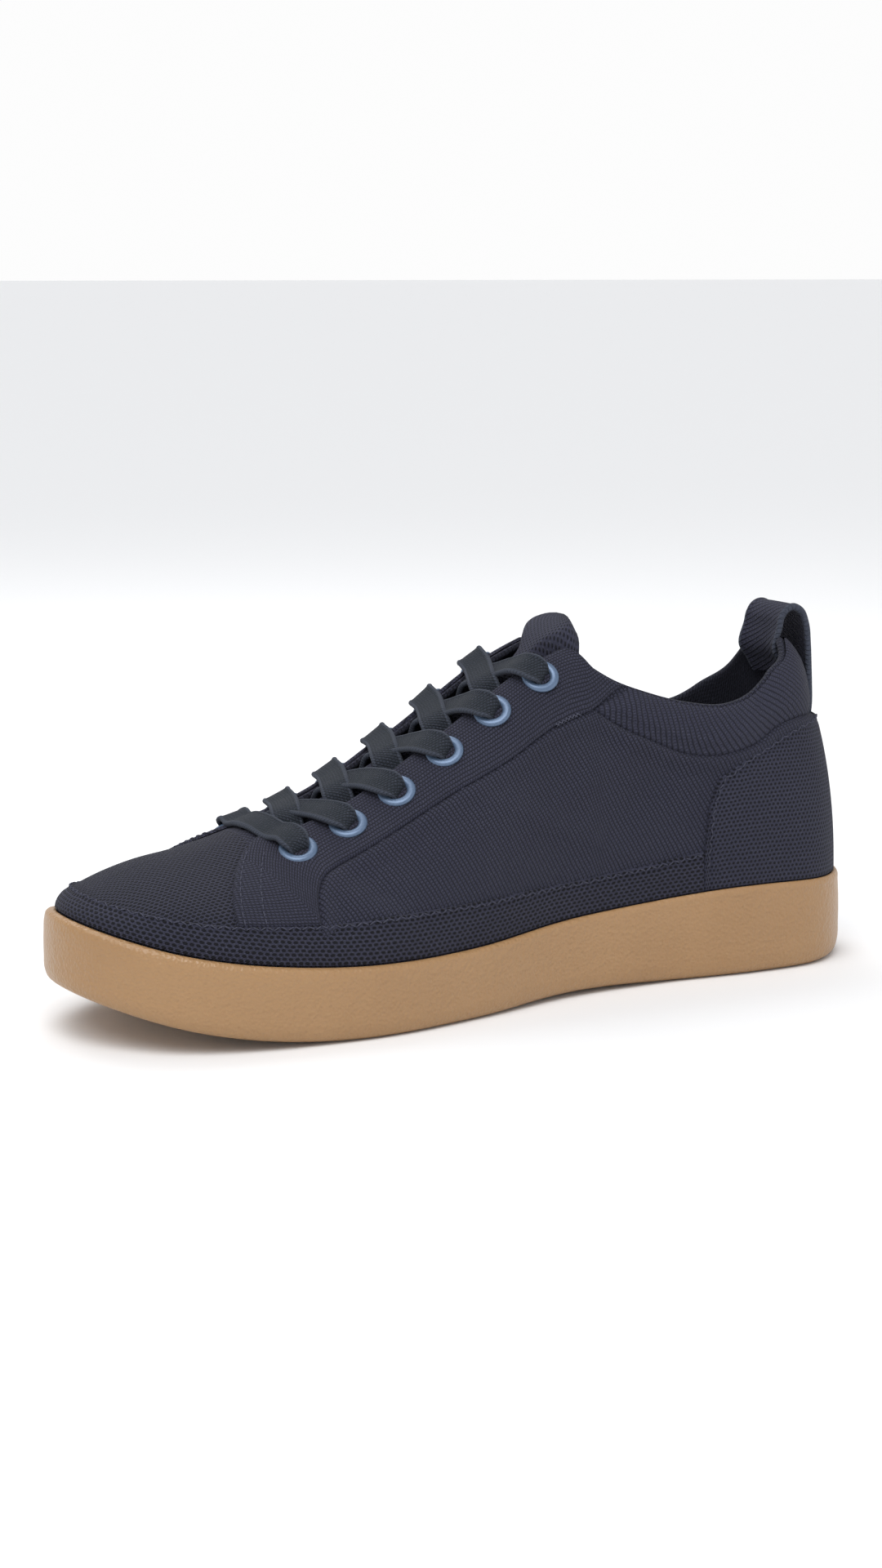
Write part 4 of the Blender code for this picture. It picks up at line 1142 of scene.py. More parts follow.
FINISHES = {
    "vamp": ClothFinish("vamp_knit", Weave.HOLES, along=0.0017, up=0.0011, size=0.32, depth=0.0008,
                        shade=0.95),
    "quarter": ClothFinish("quarter_knit", Weave.RIBS, along=0.00135, up=0.0010, angle=-0.52, depth=0.0005,
                           shade=0.8, gaps=0.75),
    "stay": ClothFinish("eyestay_knit", Weave.RIBS, along=0.00115, up=0.0010, angle=-1.57, depth=0.0005,
                        shade=0.8, gaps=0.75),
    "guard": ClothFinish("mudguard_mesh", Weave.HOLES, along=0.0020, up=0.0012, size=0.31, depth=0.0007,
                         shade=0.97),
    "counter": ClothFinish("counter_mesh", Weave.HOLES, along=0.0016, up=0.0013, size=0.28, depth=0.0006,
                           shade=0.9),
    "collar": ClothFinish("collar_rib", Weave.RIBS, along=0.0014, up=0.0012, angle=-0.80, depth=0.0005,
                          shade=0.75, gaps=0.6),
    "tongue": ClothFinish("tongue_knit", Weave.HOLES, along=0.0014, up=0.0011, size=0.24, depth=0.0005,
                          shade=0.85),
    "loop": ClothFinish("loop_rib", Weave.RIBS, along=0.0014, up=0.0011, angle=0.5, depth=0.0005,
                        shade=0.7, gaps=0.6, selvedge=LOOP_WIDTH / 2 - 0.0012),
    # Elastic strips: darker cloth, with a darker colour for the painted shade in the twill grooves
    "elastic": ClothFinish("lace_twill", Weave.RIBS, along=0.00085, up=0.0011, angle=0.55, depth=0.0004,
                           cloth=(0.018, 0.024, 0.033, 1.0), deep=(0.003, 0.004, 0.006, 1.0), shade=0.7,
                           gaps=0.6, selvedge=LACE_WIDTH / 2 - 0.0011),
    "lining": ClothFinish("lining_cloth", Weave.RIBS, along=0.0013, up=0.0012, angle=0.2, depth=0.0004,
                          cloth=(0.016, 0.017, 0.028, 1.0), shade=0.6),
    "thread": ClothFinish("seam_thread", Weave.RIBS, along=0.0004, up=0.0006, angle=0.6, depth=0.0001,
                          cloth=(0.064, 0.066, 0.096, 1.0), shade=0.3),
    "rubber": RubberFinish("gum_rubber"),
    "enamel": EnamelFinish("blue_enamel"),
    "floor": FloorFinish("studio_floor"),
}


@dataclass
class Piece:
    """One visible mesh and what it stands for in the frame."""

    name: str
    finish: str
    slot: str
    nodes: tuple[str, ...]

    def make(self, parts: Sequence[Grid]) -> bpy.types.Object:
        """Make the mesh from grids, dress it and hang it on the frame.

        Args:
            parts: Grids of points in heel-back measure.

        Returns:
            The new object.
        """
        mesh = bpy.data.meshes.new(self.name)
        points, maps, faces, base = [], [], [], 0
        for grid, chart, closed, flipped in parts:
            count, width = grid.shape[:2]
            index = base + np.arange(count * width).reshape(count, width)
            after = np.roll(index, -1, axis=0) if closed else index[1:]
            before = index if closed else index[:-1]
            quads = np.stack([before[:, :-1], after[:, :-1], after[:, 1:], before[:, 1:]], axis=-1)
            quads = quads.reshape(-1, 4)
            faces.append(quads[:, ::-1] if flipped else quads)
            points.append(grid.reshape(-1, 3))
            maps.append(chart.reshape(-1, 2))
            base += count * width
        points = np.concatenate(points) - np.array([HEEL_CENTRE, 0, 0])
        faces = np.concatenate(faces)
        maps = np.concatenate(maps)
        mesh.from_pydata(points.tolist(), [], faces.tolist())
        layer = mesh.uv_layers.new(name="UVMap")
        layer.data.foreach_set("uv", maps[faces.reshape(-1)].astype(np.float32).reshape(-1))
        mesh.materials.append(material_of(self.finish))
        bm = bmesh.new()
        bm.from_mesh(mesh)
        bmesh.ops.remove_doubles(bm, verts=bm.verts[:], dist=MERGE)
        bm.to_mesh(mesh)
        bm.free()
        mesh.shade_smooth()
        obj = bpy.data.objects.new(self.name, mesh)
        bpy.context.scene.collection.objects.link(obj)
        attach(obj, BODY)
        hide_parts(*self.nodes)
        LOG.info("%s: %d faces", self.name, len(mesh.polygons))
        return obj


MATERIALS: dict[str, bpy.types.Material] = {}


def material_of(key: str) -> bpy.types.Material:
    """Material of a named finish, made once.

    Args:
        key: Name in FINISHES.

    Returns:
        The material.
    """
    if key not in MATERIALS:
        MATERIALS[key] = FINISHES[key].build()
    return MATERIALS[key]


def border_steps(count: int, length: np.ndarray, low: bool, high: bool, roll: float) -> np.ndarray:
    """Shares across a patch, close together at its free edges.

    Args:
        count: Steps in the middle.
        length: Length across at each column.
        low: Whether the low edge is free.
        high: Whether the high edge is free.
        roll: Width of the rolled edge.

    Returns:
        One row of shares for each length.
    """
    near = np.array([0.0, 0.08, 0.25, 0.55, 1.0]) * roll
    length = np.atleast_1d(length)[:, None]
    first = near[None, :] / length if low else np.zeros((len(length), 1))
    last = 1 - near[::-1][None, :] / length if high else np.ones((len(length), 1))
    inner = np.linspace(0, 1, count + 1)[1:-1][None, :]
    middle = first[:, -1:] + (last[:, :1] - first[:, -1:]) * inner
    return np.concatenate([first, middle, last], axis=1)


def even(curve: np.ndarray, share: np.ndarray) -> np.ndarray:
    """Turns and rises at shares of a curve's length on the last.

    Args:
        curve: Turns and rises of the line.
        share: Shares of the curve's length.

    Returns:
        One row of turn and rise for each share.
    """
    run = np.linalg.norm(np.diff(LAST.point(curve[:, 0], curve[:, 1]), axis=0), axis=1)
    run = np.concatenate([[0], np.cumsum(run + 1e-9)])
    return np.stack([np.interp(share * run[-1], run, curve[:, k]) for k in (0, 1)], axis=-1)


def nearest(points: np.ndarray, line: np.ndarray) -> np.ndarray:
    """Distance from each point to a line of close points.

    Args:
        points: Places, one row of three numbers each.
        line: Points of the line.

    Returns:
        One distance for each point.
    """
    flat = points.reshape(-1, 3)
    found = [np.sqrt(((part[:, None] - line[None]) ** 2).sum(axis=-1).min(axis=1))
             for part in np.array_split(flat, max(1, len(flat) // 2000))]
    return np.concatenate(found).reshape(points.shape[:-1])


@dataclass
class Patch:
    """Sheet of cloth lying on the last between two curves of turns and rises.

    free names the edges that are rolled down to the base; the two side edges join the ends
    of the curves.
    """

    low: np.ndarray
    high: np.ndarray
    columns: int
    rows: int
    thick: float
    base: float = -0.0003
    roll: float = 0.0009
    puff: float = 0.0
    free: str = "start end low high"
    extra: Callable[[np.ndarray, np.ndarray], np.ndarray] | None = None

    def grid(self) -> tuple[np.ndarray, np.ndarray]:
        """Points and map of the sheet.

        Returns:
            Points in heel-back measure and their map in metres.
        """
        share = np.linspace(0, 1, self.columns)
        low, high = even(self.low, share), even(self.high, share)
        fine = np.linspace(0, 1, 24)[None, :, None]
        path = low[:, None] * (1 - fine) + high[:, None] * fine
        spots = LAST.point(path[..., 0], path[..., 1])
        lengths = np.maximum(np.linalg.norm(np.diff(spots, axis=1), axis=-1).sum(axis=1), 2.4 * self.roll)
        free = self.free.split()
        v = border_steps(self.rows, lengths, "low" in free, "high" in free, self.roll)
        place = low[:, None] * (1 - v[..., None]) + high[:, None] * v[..., None]
        turn, rise = place[..., 0], place[..., 1]
        points = LAST.point(turn, rise)
        sides = {"start": spots[0], "end": spots[-1]}
        for name, curve in (("low", self.low), ("high", self.high)):
            dense = even(curve, np.linspace(0, 1, 900))
            sides[name] = LAST.point(dense[:, 0], dense[:, 1])
        gap = np.full(turn.shape, 1.0)
        for name in free:
            line = sides[name]
            if len(line) < 100:
                steps = np.linspace(0, 1, 9)
                line = np.concatenate([line[:-1] + (line[1:] - line[:-1]) * t for t in steps])
            gap = np.minimum(gap, nearest(points, line))
        height = self.base + (self.thick - self.base) * roll_of(gap, self.roll)
        height = height + self.puff * np.sin(pi * v) ** 0.7 * ease(gap / (4 * self.roll)) + relief(points)
        if self.extra:
            height = height + self.extra(turn, v)
        chart = chart_of(run_of(points[:, v.shape[1] // 2]), v * lengths[:, None])
        return points + LAST.normal(turn, rise) * height[..., None], chart


def relief(points: np.ndarray) -> np.ndarray:
    """Soft creases and dents of the worn knit, placed in the shoe's own sizes.

    Args:
        points: Places, one row of three numbers each.

    Returns:
        Height of the cloth at each point.
    """
    along = points[..., 0] / LENGTH
    up = points[..., 2] / INSTEP_HEIGHT
    total = np.zeros(points.shape[:-1])
    for x, z, lean, reach, width, depth in (
        (0.700, 0.36, 0.55, 0.030, 0.11, 0.0006),
        (0.655, 0.34, 0.60, 0.026, 0.12, -0.0005),
        (0.360, 0.62, -0.70, 0.028, 0.12, 0.0007),
        (0.300, 0.55, -0.50, 0.030, 0.13, -0.0007),
        (0.460, 0.50, 0.90, 0.035, 0.16, 0.0006),
        (0.870, 0.38, 0.20, 0.045, 0.10, 0.0004),
        (0.150, 0.72, 0.20, 0.030, 0.10, -0.0006),
    ):
        across = (along - x) - lean * (up - z)
        down = up - z
        total += depth * np.exp(-((across / reach) ** 2) - (down / width) ** 2)
    return total


@dataclass
class Shell:
    """Base of the upper: knit outside, rounded free edge and dark lining.

    The welt is the raised edge of the quarters along their upper seam; split is the share of
    the length at which the quarters end and the vamp starts.
    """

    outer_rows: int = 104
    inner_rows: int = 26
    wall: float = UPPER_WALL
    welt_height: float = 0.0011
    welt_roll: float = 0.0013
    welt_reach: float = 0.006
    split: float = 0.785

    def tuck(self, turn: np.ndarray, rise: np.ndarray, edge: np.ndarray) -> np.ndarray:
        """Depth by which the heel is drawn in above the counter.

        Args:
            turn: Turns of the places.
            rise: Rises of the places.
            edge: Rises of the free edge.

        Returns:
            Depths in metres.
        """
        seam = LAST.seam(turn.reshape(-1)).reshape(turn.shape)
        above = (rise - seam) / np.maximum(edge - seam, 1e-6)
        return LAST.tuck(turn) * np.where(above < 0, ease(1 + above / 0.12), ease(1 - above / 0.75))

    def welt(self, points: np.ndarray, turn: np.ndarray, rise: np.ndarray) -> np.ndarray:
        """Rounded edge of the quarters below their upper seam.

        Args:
            points: Places, one row of three numbers each.
            turn: Turns of the places.
            rise: Rises of the places.

        Returns:
            Heights over the last.
        """
        below = rise < LAST.seam(turn.reshape(-1)).reshape(turn.shape)
        inside = below & (LAST.x_of(turn) < STAY_FRONT * LENGTH)
        height = np.zeros(turn.shape)
        lines = []
        for side in Side:
            line = LAST.seam_line(side)
            line = line[np.abs(line[:, 0]) > LAST.turn_of(APEX * LENGTH)]
            lines.append(LAST.point(line[:, 0], line[:, 1]))
        around = np.linspace(1, -1, 900) * LAST.turn_of(APEX * LENGTH)
        lines.append(LAST.point(around, LAST.seam(around)))
        gap = nearest(points[inside], np.concatenate(lines))
        fall = 1 - ease((gap - self.welt_roll) / self.welt_reach)
        height[inside] = self.welt_height * ease(gap / self.welt_roll) * fall
        return height

    def grid(self, turns: np.ndarray) -> tuple[np.ndarray, np.ndarray, np.ndarray]:
        """Points of the wall, its side map and the run up each section.

        Args:
            turns: Turns of the sections.

        Returns:
            Points, map and run, one row for each turn.
        """
        edge = LAST.edge(turns)
        share = np.linspace(0, 1, self.outer_rows)
        rise = edge[:, None] * share
        full = np.broadcast_to(turns[:, None], rise.shape)
        points = LAST.point(full, rise)
        normals = LAST.normal(full, rise)
        edges = np.broadcast_to(edge[:, None], rise.shape)
        offset = relief(points) - self.tuck(full, rise, edges) + self.welt(points, full, rise)
        outer = points + normals * offset[..., None]
        station = LAST.station_of(turns)
        along = (1 - np.cos(pi * station)) / 2
        foot = outer[:, :1].copy()
        foot[:, 0, 2] = LAST.floor(along) + CLEARANCE
        closed = (edge < 0.999)[:, None]
        away = unit(outer[:, -1] - outer[:, -3])
        lip = []
        for angle in (45, 90, 135):
            turn = radians(angle)
            middle = outer[:, -1] - normals[:, -1] * self.wall / 2
            swing = away * sin(turn) * 0.5 * self.wall * closed
            swing = swing + normals[:, -1] * cos(turn) * 0.5 * self.wall
            lip.append((middle + swing)[:, None])
        back = np.linspace(self.outer_rows - 1, 0, self.inner_rows).round().astype(int)
        inner = outer[:, back] - normals[:, back] * self.wall
        hem = inner[:, -1:].copy()
        hem[:, 0, 2] = foot[:, 0, 2]
        grid = np.concatenate([foot, outer] + lip + [inner, hem], axis=1)
        steps = np.linalg.norm(np.diff(grid, axis=1), axis=-1)
        up = np.concatenate([np.zeros((len(grid), 1)), np.cumsum(steps, axis=1)], axis=1)
        return grid, chart_of(run_of(outer[:, self.outer_rows // 3]), up), up

    def top_map(self, grid: np.ndarray, turns: np.ndarray, up: np.ndarray) -> np.ndarray:
        """Map of the vamp, laid out flat from its ridge.

        Args:
            grid: Points of the vamp; not used.
            turns: Turns of the sections.
            up: Run up each section.

        Returns:
            Places on the flat map.
        """
        foot, ridge, _, _ = LAST.section(turns)
        way = unit((foot - ridge)[:, :2])
        reach = up[:, self.outer_rows:self.outer_rows + 1] - up
        return ridge[:, None, :2] + way[:, None, :] * reach[..., None]

    def build(self) -> None:
        """Quarters round the heel and vamp round the toe."""
        split = float(LAST.turn_of(self.split * LENGTH))
        outside = self.outer_rows + 2
        quarter = np.linspace(split, -split, 621)
        grid, chart, _ = self.grid(quarter)
        shell = Piece("upper_quarters", "quarter", "knit", ("upper",))
        shell.make([(grid[:, :outside], chart[:, :outside], False, True)])
        inside = Piece("upper_quarters_lining", "lining", "knit", ("upper",))
        inside.make([(grid[:, outside - 1:], chart[:, outside - 1:], False, True)])
        front = np.linspace(split, 2 - split, 301)
        turns = np.where(front > 1, front - 2, front)
        grid, chart, up = self.grid(turns)
        top = self.top_map(grid, turns, up)
        shell = Piece("upper_vamp", "vamp", "knit", ("upper",))
        shell.make([(grid[:, :outside], top[:, :outside], False, False)])
        inside = Piece("upper_vamp_lining", "lining", "knit", ("upper",))
        inside.make([(grid[:, outside - 1:], chart[:, outside - 1:], False, False)])


def wrapped(turn: np.ndarray) -> np.ndarray:
    """Turn of a place counted on past the toe tip."""
    return np.where(turn > 1, turn - 2, turn)


@dataclass
class Overlays:
    """Mudguard, heel counter, eyestays and collar band, each a sheet with rolled edges.

    foot is where the lower edges start above the rim; the groove sizes are the depth of the
    stitched line along the mudguard and the counter.
    """

    foot: float = 0.0005
    guard_thick: float = 0.0008
    guard_roll: float = 0.0009
    guard_groove: float = 0.00028
    counter_thick: float = 0.0009
    counter_roll: float = 0.0010
    counter_groove: float = 0.0003
    stay_thick: float = 0.0012
    stay_roll: float = 0.0009
    band_thick: float = 0.0008
    band_roll: float = 0.0012
    band_puff: float = 0.0016

    def mudguard(self) -> None:
        """Coarse mesh band from the counter's front round the toe and back."""
        start = float(LAST.turn_of(COUNTER_FRONT))
        count = 620
        share = np.linspace(0, 1, count)
        turns = wrapped(start + (2 - 2 * start) * share)
        top = LAST.guard(turns)
        low = LAST.rise_at_length(turns, self.foot)
        length = GUARD["height"](LAST.x_of(turns) / LENGTH) * SOLE_HEIGHT - self.foot
        v = border_steps(10, length, False, True, self.guard_roll)
        full = np.broadcast_to(turns[:, None], v.shape)
        rise = low[:, None] + (top - low)[:, None] * v
        points = LAST.point(full, rise)
        normals = LAST.normal(full, rise)
        gap = (1 - v) * length[:, None]
        height = self.guard_thick * roll_of(gap, self.guard_roll)
        height = height - self.guard_groove * np.exp(-(((gap - 0.0019) / 0.0006) ** 2)) + relief(points)
        chart = chart_of(run_of(points[:, 2]), v * length[:, None])
        piece = Piece("mudguard_mesh_band", "guard", "open_mesh", ("mudguard",))
        piece.make([(points + normals * height[..., None], chart, False, False)])

    def counter(self) -> None:
        """Panel round the heel with its front edge swept down to the rim."""
        front = COUNTER["edge"].xs[-1]

        def half(sign: int) -> tuple[np.ndarray, np.ndarray, np.ndarray]:
            """Turns, low and top rises of one side, heel first.

            Args:
                sign: 1 on the medial side, -1 on the lateral side.

            Returns:
                Turns, low rises and top rises.
            """
            along = np.concatenate([np.linspace(0, 0.2, 60), np.linspace(0.2, front, 60)[1:]])
            turn = sign * LAST.turn_of(np.maximum(along * LENGTH, LAST.start + 1e-7))
            top = LAST.rise_at_height(turn, COUNTER["edge"](along) * INSTEP_HEIGHT)
            return turn, LAST.rise_at_length(turn, self.foot), top

        parts = [half(1), half(-1)]
        turn = np.concatenate([parts[0][0][::-1], parts[1][0][1:]])
        low = np.concatenate([parts[0][1][::-1], parts[1][1][1:]])
        top = np.concatenate([parts[0][2][::-1], parts[1][2][1:]])
        top = np.maximum(top, low + 0.004)
        share = border_steps(44, np.full(len(turn), 0.050), False, True, self.counter_roll)
        full = np.broadcast_to(turn[:, None], share.shape)
        rise = low[:, None] + (top - low)[:, None] * share
        points = LAST.point(full, rise)
        normals = LAST.normal(full, rise)
        x = LAST.x_of(full)
        length = np.linalg.norm(np.diff(points, axis=1), axis=-1).sum(axis=1)[:, None]
        gap = np.minimum((1 - share) * length, np.maximum(front * LENGTH - x, 0) * 1.05)
        height = self.counter_thick * roll_of(gap, self.counter_roll)
        height = height - self.counter_groove * np.exp(-(((gap - 0.0024) / 0.0007) ** 2)) + relief(points)
        chart = chart_of(run_of(points[:, 8]), share * length)
        piece = Piece("heel_counter_panel", "counter", "open_mesh", ("heel_counter",))
        piece.make([(points + normals * height[..., None], chart, False, True)])

    def eyestay(self, side: Side) -> None:
        """Raised panel from the throat down to its seam and the vamp seam.

        Args:
            side: Side of the shoe.
        """
        sign = side.value
        seam = LAST.seam_line(side)
        bottom = np.linspace(STAY_FRONT, VAMP_FOOT, 40)[1:] * LENGTH
        turn = sign * LAST.turn_of(bottom)
        low = np.concatenate([seam, np.stack([turn, LAST.guard(turn) * 0.96], axis=-1)])
        back, front = STAY_SEAM.rows[0][0], STAY_TOP
        turn = sign * LAST.turn_of(np.linspace(back, front, 300) * LENGTH)
        limit = LAST.rise_at_half(turn, np.full(turn.shape, 0.55 * THROAT_HALF))
        high = np.stack([turn, np.minimum(LAST.edge(turn), limit)], axis=-1)
        high = np.concatenate([high, self.vamp_seam(side)[::-1][1:]])
        patch = Patch(low, high, 300, 46, thick=self.stay_thick, roll=self.stay_roll)
        grid, chart = patch.grid()
        piece = Piece(f"upper_eyestay_{side.word}", "stay", "knit", ("upper",))
        piece.make([(grid, chart, False, sign < 0)])

    def vamp_seam(self, side: Side) -> np.ndarray:
        """Vamp seam as turns and rises, from the mudguard up to the throat.

        Args:
            side: Side of the shoe.

        Returns:
            One row of turn and rise for each place.
        """
        rows = [(VAMP_FOOT, 0.331), (0.832, 0.381), (0.819, 0.417), (0.805, 0.444), (0.779, 0.477)]
        curve = spline(np.array([(*row, 0.0) for row in rows]), 12)
        turn = side.value * LAST.turn_of(curve[:, 0] * LENGTH)
        rise = LAST.rise_at_height(turn, curve[:, 1] * INSTEP_HEIGHT)
        top = side.value * float(LAST.turn_of(STAY_TOP * LENGTH))
        limit = float(LAST.rise_at_half(np.array([top]), np.array([0.55 * THROAT_HALF]))[0])
        line = np.stack([turn, rise], axis=-1)
        line[0, 1] = LAST.guard(turn[:1])[0] * 0.96
        return np.concatenate([line, [[top, limit]]])

    def collar(self) -> None:
        """Padded band round the ankle above the seam."""
        back = float(LAST.turn_of(STAY_SEAM.rows[0][0] * LENGTH))
        apex = float(LAST.turn_of(APEX * LENGTH))
        low = np.linspace(apex, -apex, 500)
        high = np.linspace(back, -back, 500)

        def draw(turn: np.ndarray, share: np.ndarray) -> np.ndarray:
            """Heel tuck, as the base has it."""
            return -LAST.tuck(turn) * ease(1 - share / 0.75)

        low = np.stack([low, LAST.seam(low)], axis=-1)
        high = np.stack([high, LAST.edge(high)], axis=-1)
        patch = Patch(low, high, 460, 30, thick=self.band_thick, roll=self.band_roll, puff=self.band_puff,
                      free="start end low", extra=draw)
        grid, chart = patch.grid()
        piece = Piece("upper_collar_band", "collar", "knit", ("upper",))
        piece.make([(grid, chart, False, True)])

    def build(self) -> None:
        """All overlays."""
        self.mudguard()
        self.counter()
        for side in Side:
            self.eyestay(side)
        self.collar()
        Stitching().build(self)


@dataclass
class Stitching:
    """Rows of sewn stitches, each a small thread lying in the cloth."""

    stitch: float = 0.0019
    thick: float = 0.00042
    pitch: float = 0.0021
    vamp_pitch: float = 0.0024
    tack_pitch: float = 0.0007

    def thread(self, points: np.ndarray, normals: np.ndarray) -> Grid:
        """One stitch as a tapered tube along five points.

        Args:
            points: Places, one row of three numbers each.
            normals: Outward unit normals at the points.

        Returns:
            The stitch's grid.
        """
        along = unit(np.gradient(points, axis=0))
        across = unit(np.cross(normals, along))
        size = np.array([0.35, 0.90, 1.0, 0.90, 0.35])[:, None] * self.thick / 2
        lift = np.array([-0.00012, 0.00010, 0.00015, 0.00010, -0.00012])[:, None]
        rings = [points + normals * (lift + size * sin(a)) + across * size * cos(a)
                 for a in np.linspace(0, 2 * pi, 6, endpoint=False)]
        grid = np.array(rings)
        return grid, grid[..., :2], True, False

    def row(self, curve: np.ndarray, lift: float, pitch: float, swing: float = 0.0) -> list[Grid]:
        """Stitches along a curve of turns and rises.

        Args:
            curve: Turns and rises of the row.
            lift: Height of the cloth over the last.
            pitch: Distance from stitch to stitch.
            swing: Half width of a zigzag row.

        Returns:
            One grid for each stitch.
        """
        dense = even(curve, np.linspace(0, 1, 1600))
        points = LAST.point(dense[:, 0], dense[:, 1])
        normals = LAST.normal(dense[:, 0], dense[:, 1])
        points = points + normals * (lift + relief(points))[:, None]
        run = run_of(points)
        grids = []
        for k in range(int(run[-1] / pitch)):
            want = (k + 0.15) * pitch + np.linspace(0, 1, 5) * min(self.stitch, 0.8 * pitch + 2 * swing)
            spots = np.stack([np.interp(want, run, points[:, i]) for i in range(3)], axis=-1)
            ups = unit(np.stack([np.interp(want, run, normals[:, i]) for i in range(3)], axis=-1))
            side = np.cross(ups, unit(np.gradient(spots, axis=0)))
            way = np.linspace(-1, 1, 5)[:, None] * swing * (1 if k % 2 else -1)
            grids.append(self.thread(spots + side * way, ups))
        return grids

    def below(self, curve: np.ndarray, distance: float) -> np.ndarray:
        """Curve moved down the last by a distance."""
        step = LAST.point(curve[:, 0], curve[:, 1]) - LAST.point(curve[:, 0], curve[:, 1] - 0.01)
        return curve - np.stack([0 * curve[:, 0], 0.01 * distance / np.linalg.norm(step, axis=1)], axis=-1)

    def build(self, overlays: Overlays) -> None:
        """Rows on mudguard, counter, vamp seams and the bar tacks of the eyestays.

        Args:
            overlays: Sheets whose seams are sewn.
        """
        start = float(LAST.turn_of(COUNTER_FRONT))
        front = wrapped(np.linspace(start, 2 - start, 1200))
        halves = [front[front >= 0], front[front < 0]]
        band = []
        for turns in halves:
            line = np.stack([turns, LAST.guard(turns)], axis=-1)
            band += self.row(self.below(line, 0.0010), 0.0008, self.pitch, 0.0005)
        Piece("mudguard_stitches", "thread", "open_mesh", ("mudguard",)).make(band)
        panel = []
        for side in Side:
            along = np.array(COUNTER["edge"].xs)
            fine = np.linspace(0.03, along[-1], 200)
            turn = side.value * LAST.turn_of((fine - 0.0052) * LENGTH)
            rise = LAST.rise_at_height(turn, COUNTER["edge"](fine) * INSTEP_HEIGHT)
            line = self.below(np.stack([turn, rise], axis=-1), 0.0004)
            panel += self.row(line, 0.0009, self.pitch, 0.0004)
        Piece("counter_stitches", "thread", "open_mesh", ("heel_counter",)).make(panel)
        for side in Side:
            seam = overlays.vamp_seam(side)
            rows = []
            for back, last in ((0.0022, 0), (0.0085, 6)):
                line = seam[: len(seam) - 8 - last].copy()
                x = LAST.x_of(line[:, 0]) - back
                turn = side.value * LAST.turn_of(x)
                rise = line[:, 1]
                rows += self.row(np.stack([turn, rise], axis=-1), 0.0012, self.vamp_pitch)
            tack = LAST.seam_line(side)
            along = LAST.x_of(tack[:, 0]) / LENGTH
            tack = tack[(along > 0.392) & (along < 0.432)]
            rows += self.row(self.below(tack, -0.0004), 0.0011, self.tack_pitch, 0.0007)
            Piece(f"eyestay_stitches_{side.word}", "thread", "knit", ("upper",)).make(rows)


@dataclass
class Strip:
    """Flat woven tape with thickened selvedges along a path of frames."""

    width: float
    thickness: float
    bead: float
    steps: int = 7

    def ring(self, width: float) -> np.ndarray:
        """Section across the tape as offsets across and up.

        Args:
            width: Width of the tape here.

        Returns:
            One row of offsets for each point.
        """
        half = width / 2
        flat = self.thickness / 2
        bead = self.bead / 2
        top = [(-half + bead * (1 - cos(a)), bead * sin(a)) for a in np.linspace(0, 0.75 * pi, 5)]
        inner = [(t * (half - 2.6 * bead), flat) for t in (-1, -0.5, 0, 0.5, 1)]
        upper = top + inner + [(-a, b) for a, b in top[::-1]]
        lower = [(a, -b) for a, b in upper[::-1][1:-1]]
        return np.array(upper + lower)

    def grid(self, points: np.ndarray, ups: np.ndarray, widths: np.ndarray) -> tuple[np.ndarray, np.ndarray]:
        """Points and map of the tape.

        Args:
            points: Middle line of the tape.
            ups: Upward directions along the path.
            widths: Width of the tape at each point.

        Returns:
            Points and map, round the section first.
        """
        rows = spline(np.concatenate([points, ups, widths[:, None]], axis=1), self.steps)
        centre, up, width = rows[:, :3], unit(rows[:, 3:6]), rows[:, 6]
        along = unit(np.gradient(centre, axis=0))
        across = unit(np.cross(up, along))
        up = np.cross(along, across)
        grid = []
        chart = []
        run = run_of(centre)
        for i in range(len(centre)):
            ring = self.ring(width[i])
            grid.append(centre[i] + across[i] * ring[:, :1] + up[i] * ring[:, 1:])
            chart.append(np.stack([np.full(len(ring), run[i]), ring[:, 0] * self.width / width[i]], axis=-1))
        return np.array(grid).transpose(1, 0, 2), np.array(chart).transpose(1, 0, 2)


